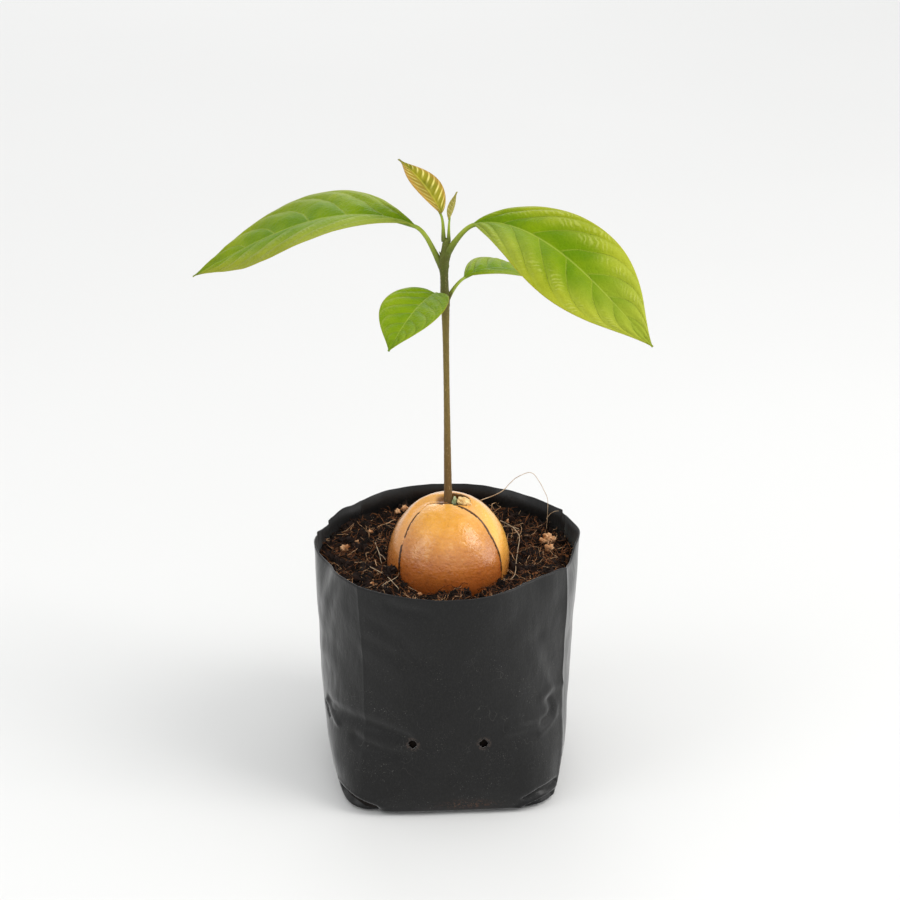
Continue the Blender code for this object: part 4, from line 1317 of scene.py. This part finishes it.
def midrib(leaf, count):
    """Points, directions, sides and faces along a leaf's midrib, by the leaf rule of the solids."""
    s = np.linspace(0, 1, count)
    heading = np.radians(leaf["heading"] + leaf["sweep"] * s)
    slope = np.radians(leaf["droop"] + (leaf["rise"] - leaf["droop"]) * (1 - s) ** leaf["ease"])
    ahead = np.stack([np.cos(slope) * np.cos(heading), np.cos(slope) * np.sin(heading), np.sin(slope)], 1)
    steps = (ahead[1:] + ahead[:-1]) / 2 * leaf["length"] / (count - 1)
    places = np.vstack([[0, 0, 0], np.cumsum(steps, 0)]) + np.array(leaf["foot"])
    level = np.stack([-np.sin(heading), np.cos(heading), 0 * heading], 1)
    up = np.cross(ahead, level)
    roll = np.radians(leaf["roll"] + leaf["twist"] * s)[:, None]
    side = np.cos(roll) * level + np.sin(roll) * up
    face = np.cos(roll) * up - np.sin(roll) * level
    return s, places, ahead, side, face


def half_width(leaf, s):
    form = np.sin(pi * np.clip(s, 0, 1) ** leaf["wide"])
    form[(s <= 0) | (s >= 1)] = 0
    outline = np.maximum(form, 0) ** (leaf["full"] + (leaf["point"] - leaf["full"]) * s)
    return np.maximum(leaf["width"] / 2 * outline, NARROWEST)


LEAF_GRAIN = 0.00062
LEAF_THICK = 0.00030
PUFF = 0.00090
GROOVE = 0.00010
RIPPLE = 0.00016
VEIN_RIB = 0.00020
VEIN_SLANT = (0.17, 0.10, 0.10)
VEIN_CROWDING = 0.9
RUNG_SPACING = 0.0017
DRIP_TIP = 0.018


def make_leaf(name, leaf, material):
    """Both faces of a blade, quilted between its side veins, with a rounded rib below."""
    rows = max(int(leaf["length"] / LEAF_GRAIN), 40)
    columns = max(int(leaf["width"] / LEAF_GRAIN / 2), 8) * 2 + 1
    s, places, ahead, side, face = midrib(leaf, rows)
    places = places + ahead * (leaf["length"] * DRIP_TIP * np.clip((s - 0.88) / 0.12, 0, 1) ** 2)[:, None]
    v = np.linspace(-1, 1, columns)
    half = half_width(leaf, s)
    out = half[:, None] * v[None, :]
    away = np.abs(v)[None, :] * np.ones((rows, 1))
    rise = np.radians(leaf["fold"] + leaf["curl"] * away)
    middle = (places[:, None, :] + side[:, None, :] * (out * np.cos(rise))[..., None]
              + face[:, None, :] * (np.abs(out) * np.sin(rise))[..., None])
    across = np.broadcast_to(v, (rows, columns))
    along = np.broadcast_to(s[:, None], (rows, columns))
    lean, bend, sweep = leaf.get("slant", VEIN_SLANT)
    crowded = VEIN_CROWDING * np.clip(along - 0.6, 0, 1) ** 2
    phase = leaf["veins"] * (along + crowded - lean * away - bend * away ** 2 - sweep * away ** 6)
    phase = phase + np.where(across > 0, *leaf.get("starts", (0.42, 0.0)))
    wobble = np.array([[noise.noise(Vector(p) * 130) for p in row] for row in middle])
    phase = phase + 0.16 * wobble * away
    gap = np.abs(phase - np.round(phase))
    size = leaf["width"] / 0.042
    quilt = np.sin(pi * np.clip(gap * 2, 0, 1) / 2) ** 1.3
    body = np.clip((away - 0.04) / 0.25, 0, 1) * np.clip((1.02 - away) / 0.25, 0.05, 1)
    ends = np.clip(along / 0.08, 0, 1) * np.clip((1 - along) / 0.10, 0, 1)
    puff = PUFF * size * quilt * body * ends
    groove = -GROOVE * size * np.exp(-(gap * leaf["length"] / leaf["veins"] / 0.0006) ** 2) * body * ends
    ripple = RIPPLE * np.array([[noise.noise(Vector(p) * 330) for p in row] for row in middle]) * body
    edge = 0.00005 * size * np.sin(2 * pi * phase + 0.9) * away ** 4 * ends
    slack = 0.0002 * size * wobble * away ** 2 * ends
    radius = leaf["stalk"][1] / 2 * (1 + (MIDRIB_TIP - 1) * np.clip(s / MIDRIB_REACH, 0, 1))
    radius = radius * np.clip((1 - s) / 0.06, 0, 1)
    channel = -0.35 * radius[:, None] * np.exp(-(out / (radius[:, None] * 1.1 + 1e-6)) ** 2)
    rib = np.sqrt(np.maximum(radius[:, None] ** 2 - (out * 0.8) ** 2, 0)) * 1.25
    vein_rib = VEIN_RIB * size * np.exp(-(gap * leaf["length"] / leaf["veins"] / 0.0005) ** 2) * body * ends
    thick = LEAF_THICK / 2 * (1 - 0.6 * away ** 3)
    moved = puff + ripple + edge + slack
    top = middle + face[:, None, :] * (moved + thick + groove + channel)[..., None]
    below = middle + face[:, None, :] * (moved - thick - rib - vein_rib)[..., None]
    points = np.concatenate([top.reshape(-1, 3), below.reshape(-1, 3)])
    count = rows * columns
    faces = grid_faces(rows, columns, flip=True) + grid_faces(rows, columns, first=count)
    faces += border_faces(rows, columns)
    blade = faces_outward(loose_piece(name + "_blade_skin", points, faces, material))
    where = np.stack([along, across, np.ones_like(along)], -1).reshape(-1, 3)
    lower = where * (1, 1, 0)
    mark(blade, "leaf_place", np.concatenate([where, lower]))
    mark(blade, "vein_phase", np.tile(phase.ravel() + 20, 2))
    rung = (along * leaf["length"] * 0.66 + away * leaf["width"] / 2 * 0.75) / RUNG_SPACING
    mark(blade, "rung", np.tile(rung.ravel(), 2))
    mark(blade, "fresh", np.full(2 * count, leaf.get("fresh", 0.5)))
    mark(blade, "olive", np.tile(np.where(across > 0, *leaf.get("olive", (0.0, 0.0))).ravel(), 2))
    # Share of a painted sheen near the blade's base, on one side of the midrib.
    painted_sheen = np.where(across > 0, *leaf.get("painted_sheen", (0.0, 0.0))) * np.clip((0.50 - along) / 0.30, 0, 1)
    mark(blade, "painted_sheen", np.tile(painted_sheen.ravel(), 2))
    return blade


STALK_RINGS = 60
STALK_DROP = 0.45
STALK_RUN_ON = 0.10


def make_stalk(name, leaf, material):
    """A stalk that swells out of the stem and runs on below its blade as the midrib."""
    _, places, ahead, _, face = midrib(leaf, 101)
    wide, narrow = leaf["stalk"]
    start, end = Vector(leaf["joint"]), Vector(leaf["foot"]) - Vector(face[0]) * narrow * STALK_DROP
    plan = Vector((end.x - start.x, end.y - start.y, 0))
    lift = radians(leaf["lift"])
    leave = plan.normalized() * cos(lift) + Vector((0, 0, sin(lift)))
    span = (end - start).length
    into = Vector(ahead[0])
    handles = (start, start + leave * span / 3, end - into * span * STALK_END_PULL, end)
    path, radii = [], []
    for i in range(STALK_RINGS):
        t = i / (STALK_RINGS - 1)
        weights = ((1 - t) ** 3, 3 * t * (1 - t) ** 2, 3 * t ** 2 * (1 - t), t ** 3)
        path.append(sum((w * h for w, h in zip(weights, handles)), Vector()))
        swell = 1 + 0.60 * exp(-(t * span / 0.0040) ** 1.4)
        radii.append((wide + (narrow * 0.88 - wide) * t) / 2 * swell)
    for i in range(1, int(STALK_RUN_ON * 100) + 1):
        drop = (leaf["length"] * MIDRIB_DEPTH * i / (STALK_RUN_ON * 100)
                + narrow * (STALK_DROP + 0.1 * min(1, i / 3)))
        path.append(Vector(places[i] - face[i] * drop))
        radii.append(narrow * 0.44 * (1 - 0.45 * i / (STALK_RUN_ON * 100)))
    points, faces = limb(path, radii, 20, 0.04)
    stalk = loose_piece(name + "_stalk_skin", points, faces, material)
    share = np.repeat(np.linspace(0, 1, len(path)), 20)
    mark(stalk, "along", np.concatenate([share, [0, 1]]))
    return stalk


# Roots
def root_strand(line, radius, seed, wiggle=0.00035, count=70):
    """A fine root along a line, with small kinks and a thinning tip."""
    path = []
    for i, p in enumerate(smooth_line(line, count)):
        kink = noise.noise_vector(Vector(p) * 210 + Vector((seed, 0, 0)))
        path.append(Vector(p) + Vector(kink) * wiggle)
    radii = [radius * (1 - 0.45 * i / (count - 1)) * (1 + 0.2 * noise.noise(p * 700))
             for i, p in enumerate(path)]
    return limb(path, radii, 7)


def on_mix(line, lift):
    return [(x, y, mix_height(x, y) + lift) for x, y in line]


# Thinner branches of the roots on the mix
SIDE_ROOTS = {
    "right_root": (((0.0279, 0.0250), (0.0240, 0.0275), (0.0205, 0.0262), (0.0180, 0.0245)),),
    "left_root": (((-0.0181, -0.0102), (-0.0185, -0.0154), (-0.0200, -0.0189), (-0.0225, -0.0232),
                   (-0.0243, -0.0274)),),
    "side_root": (((-0.0262, 0.0030), (-0.0247, 0.0010), (-0.0236, -0.0020)),),
}
# A short fine root that rises towards the bag's wall, beside the end of the arching one
WALL_TWIG = ((0.0388, 0.0245, 0.0918), (0.0402, 0.0238, 0.0946), (0.0418, 0.0230, 0.0960),
             (0.0434, 0.0222, 0.0966))
# How far each root lies above the plain mix
ROOT_LIFTS = {"right_root": 0.0011, "left_root": 0.0024, "side_root": 0.0020}


def make_roots(material):
    done = {}
    for number, (name, line) in enumerate(ROOTS_ON_MIX.items()):
        lift = ROOT_LIFTS[name]
        parts = [root_strand(on_mix(line, lift), ROOT_DIAMETER * 0.36, number, 0.00022)]
        for extra, side_line in enumerate(SIDE_ROOTS[name]):
            parts.append(root_strand(on_mix(side_line, lift), ROOT_DIAMETER * 0.28, number + 5 + extra,
                                     0.00022))
        done[name] = joined(name + "_strand", parts, material)
    arch = list(ARCH_ROOT)
    for end in (0, -1):
        x, y, _ = arch[end]
        arch[end] = (x, y, mix_height(x, y))
    parts = [root_strand(arch, ROOT_DIAMETER * 0.35, 9, 0.0004, 110), root_strand(WALL_TWIG, 0.00014, 10)]
    done["arching_root"] = joined("arching_root_strand", parts, material)
    return done


# Studio
CAMERA_AWAY = 0.94
CAMERA_PITCH = radians(23)
CAMERA_AIM = (0.0011, 0, 0.1316)
CAMERA_LENS = 100
FLOOR_REACH = 6
WORLD_COLOUR = (0.975, 0.98, 0.985, 1)
WORLD_STRENGTH = 0.89
# Lamps: place, where each points, width and height, power in watts, colour
LAMPS = (("right_lamp", (0.84, -0.34, 1.06), (0, 0, 0.12), (0.5, 0.9), 8.2, (1.0, 0.985, 0.965)),
         ("left_lamp", (-1.04, -0.54, 0.86), (0, 0, 0.12), (0.6, 0.9), 3.6, (0.97, 0.985, 1.0)),
         ("low_right_lamp", (1.7, -0.20, 0.35), (0, 0, 0.06), (1.0, 0.8), 5.5, (1.0, 0.99, 0.98)),
         ("front_lamp", (0.1, -1.7, 1.4), (0, 0, 0.05), (1.2, 1.2), 3.4, (1, 1, 1)),
         ("far_lamp", (-0.3, 2.4, 1.5), (-0.1, 1.4, 0), (1.2, 1.2), 11, (1, 1, 1)))


def make_studio():
    """A pale floor, soft lamps, and the camera where the photographer stood."""
    far = FLOOR_REACH
    floor = loose_piece("floor", [(-far, -far, 0), (far, -far, 0), (far, far, 0), (-far, far, 0)],
                        [(0, 1, 2, 3)], finish("studio_floor", floor_paint))
    scene = bpy.context.scene
    scene.view_settings.view_transform = "Standard"
    world = bpy.data.worlds.new("studio")
    world.use_nodes = True
    sky = world.node_tree.nodes["Background"].inputs
    sky["Color"].default_value = WORLD_COLOUR
    sky["Strength"].default_value = WORLD_STRENGTH
    scene.world = world
    for name, place, aim, size, power, colour in LAMPS:
        light = bpy.data.lights.new(name, "AREA")
        light.shape = "RECTANGLE"
        light.size, light.size_y = size
        light.energy = power
        light.color = colour
        lamp = bpy.data.objects.new(name, light)
        lamp.location = place
        lamp.rotation_euler = (Vector(aim) - Vector(place)).to_track_quat("-Z", "Y").to_euler()
        scene.collection.objects.link(lamp)
    lens = bpy.data.cameras.new("camera")
    lens.lens = CAMERA_LENS
    lens.sensor_width = 36
    camera = bpy.data.objects.new("camera", lens)
    ahead = Vector((0, cos(CAMERA_PITCH), -sin(CAMERA_PITCH)))
    camera.location = Vector(CAMERA_AIM) - ahead * CAMERA_AWAY
    camera.rotation_euler = (pi / 2 - CAMERA_PITCH, 0, 0)
    scene.collection.objects.link(camera)
    scene.camera = camera


def main():
    make_studio()
    bag = make_bag()
    cutters = [hole_cutter(HOLE_MIDDLE + spread, side, 2.0 + 3 * side + 50 * spread)
               for side in (-1, 1) for spread in (-HOLE_SPREAD, HOLE_SPREAD)]
    kept(cut(bag, *cutters), "grow_bag", "grow_bag")
    kept(make_mix_bed(finish("potting_mix", soil("080402", "180e08", 0.0008))), "potting_mix", "potting_mix")
    for piece in make_strewn_mix() + [make_chips()]:
        kept(piece, "potting_mix")
    coat = finish("seed_coat", seed_coat)
    front = seed_half("seed_front", SEED_FRONT_TOP, [crack_block(1)], False, coat)
    kept(front, "seed_coat", "seed_front_half")
    rear = seed_half("seed_rear", SEED_REAR_TOP, [crack_block(-1), hollow_cutter()], True, coat)
    kept(rear, "seed_coat", "seed_rear_half")
    flake = lump("torn_seed_skin", (0.0066, -0.0009, 0.1106), (0.0030, 0.0014, 0.0014),
                 finish("torn_skin", skin_flake("dcae68", "f2d89c")), 1.3, 0.55, (0.3, 0.5, 0))
    kept(flake, "seed_coat")
    shoot = lump("green_bud", (0.0027, -0.0006, 0.1106), (0.0009, 0.0008, 0.0019),
                 finish("green_bud", skin_flake("73824a", "b3b890")), 4.1, 0.4, (0, 0.12, 0))
    kept(shoot, "leaf_stalk")
    kept(make_stem(finish("stem_bark", bark)), "stem_bark", "stem")
    grown, young = finish("leaf_blade", leaf_skin), finish("young_leaf_blade", young_skin)
    stalk_finish = finish("leaf_stalk", stalk_skin)
    for name, leaf in LEAVES.items():
        fresh = name in YOUNG_LEAVES
        blade = make_leaf(name, leaf, young if fresh else grown)
        kept(blade, "young_leaf_blade" if fresh else "leaf_blade", name + "_blade")
        kept(make_stalk(name, leaf, stalk_finish), "leaf_stalk", name + "_stalk")
    for name, strand in make_roots(finish("fine_root", root_skin)).items():
        kept(strand, "fine_root", name)


main()
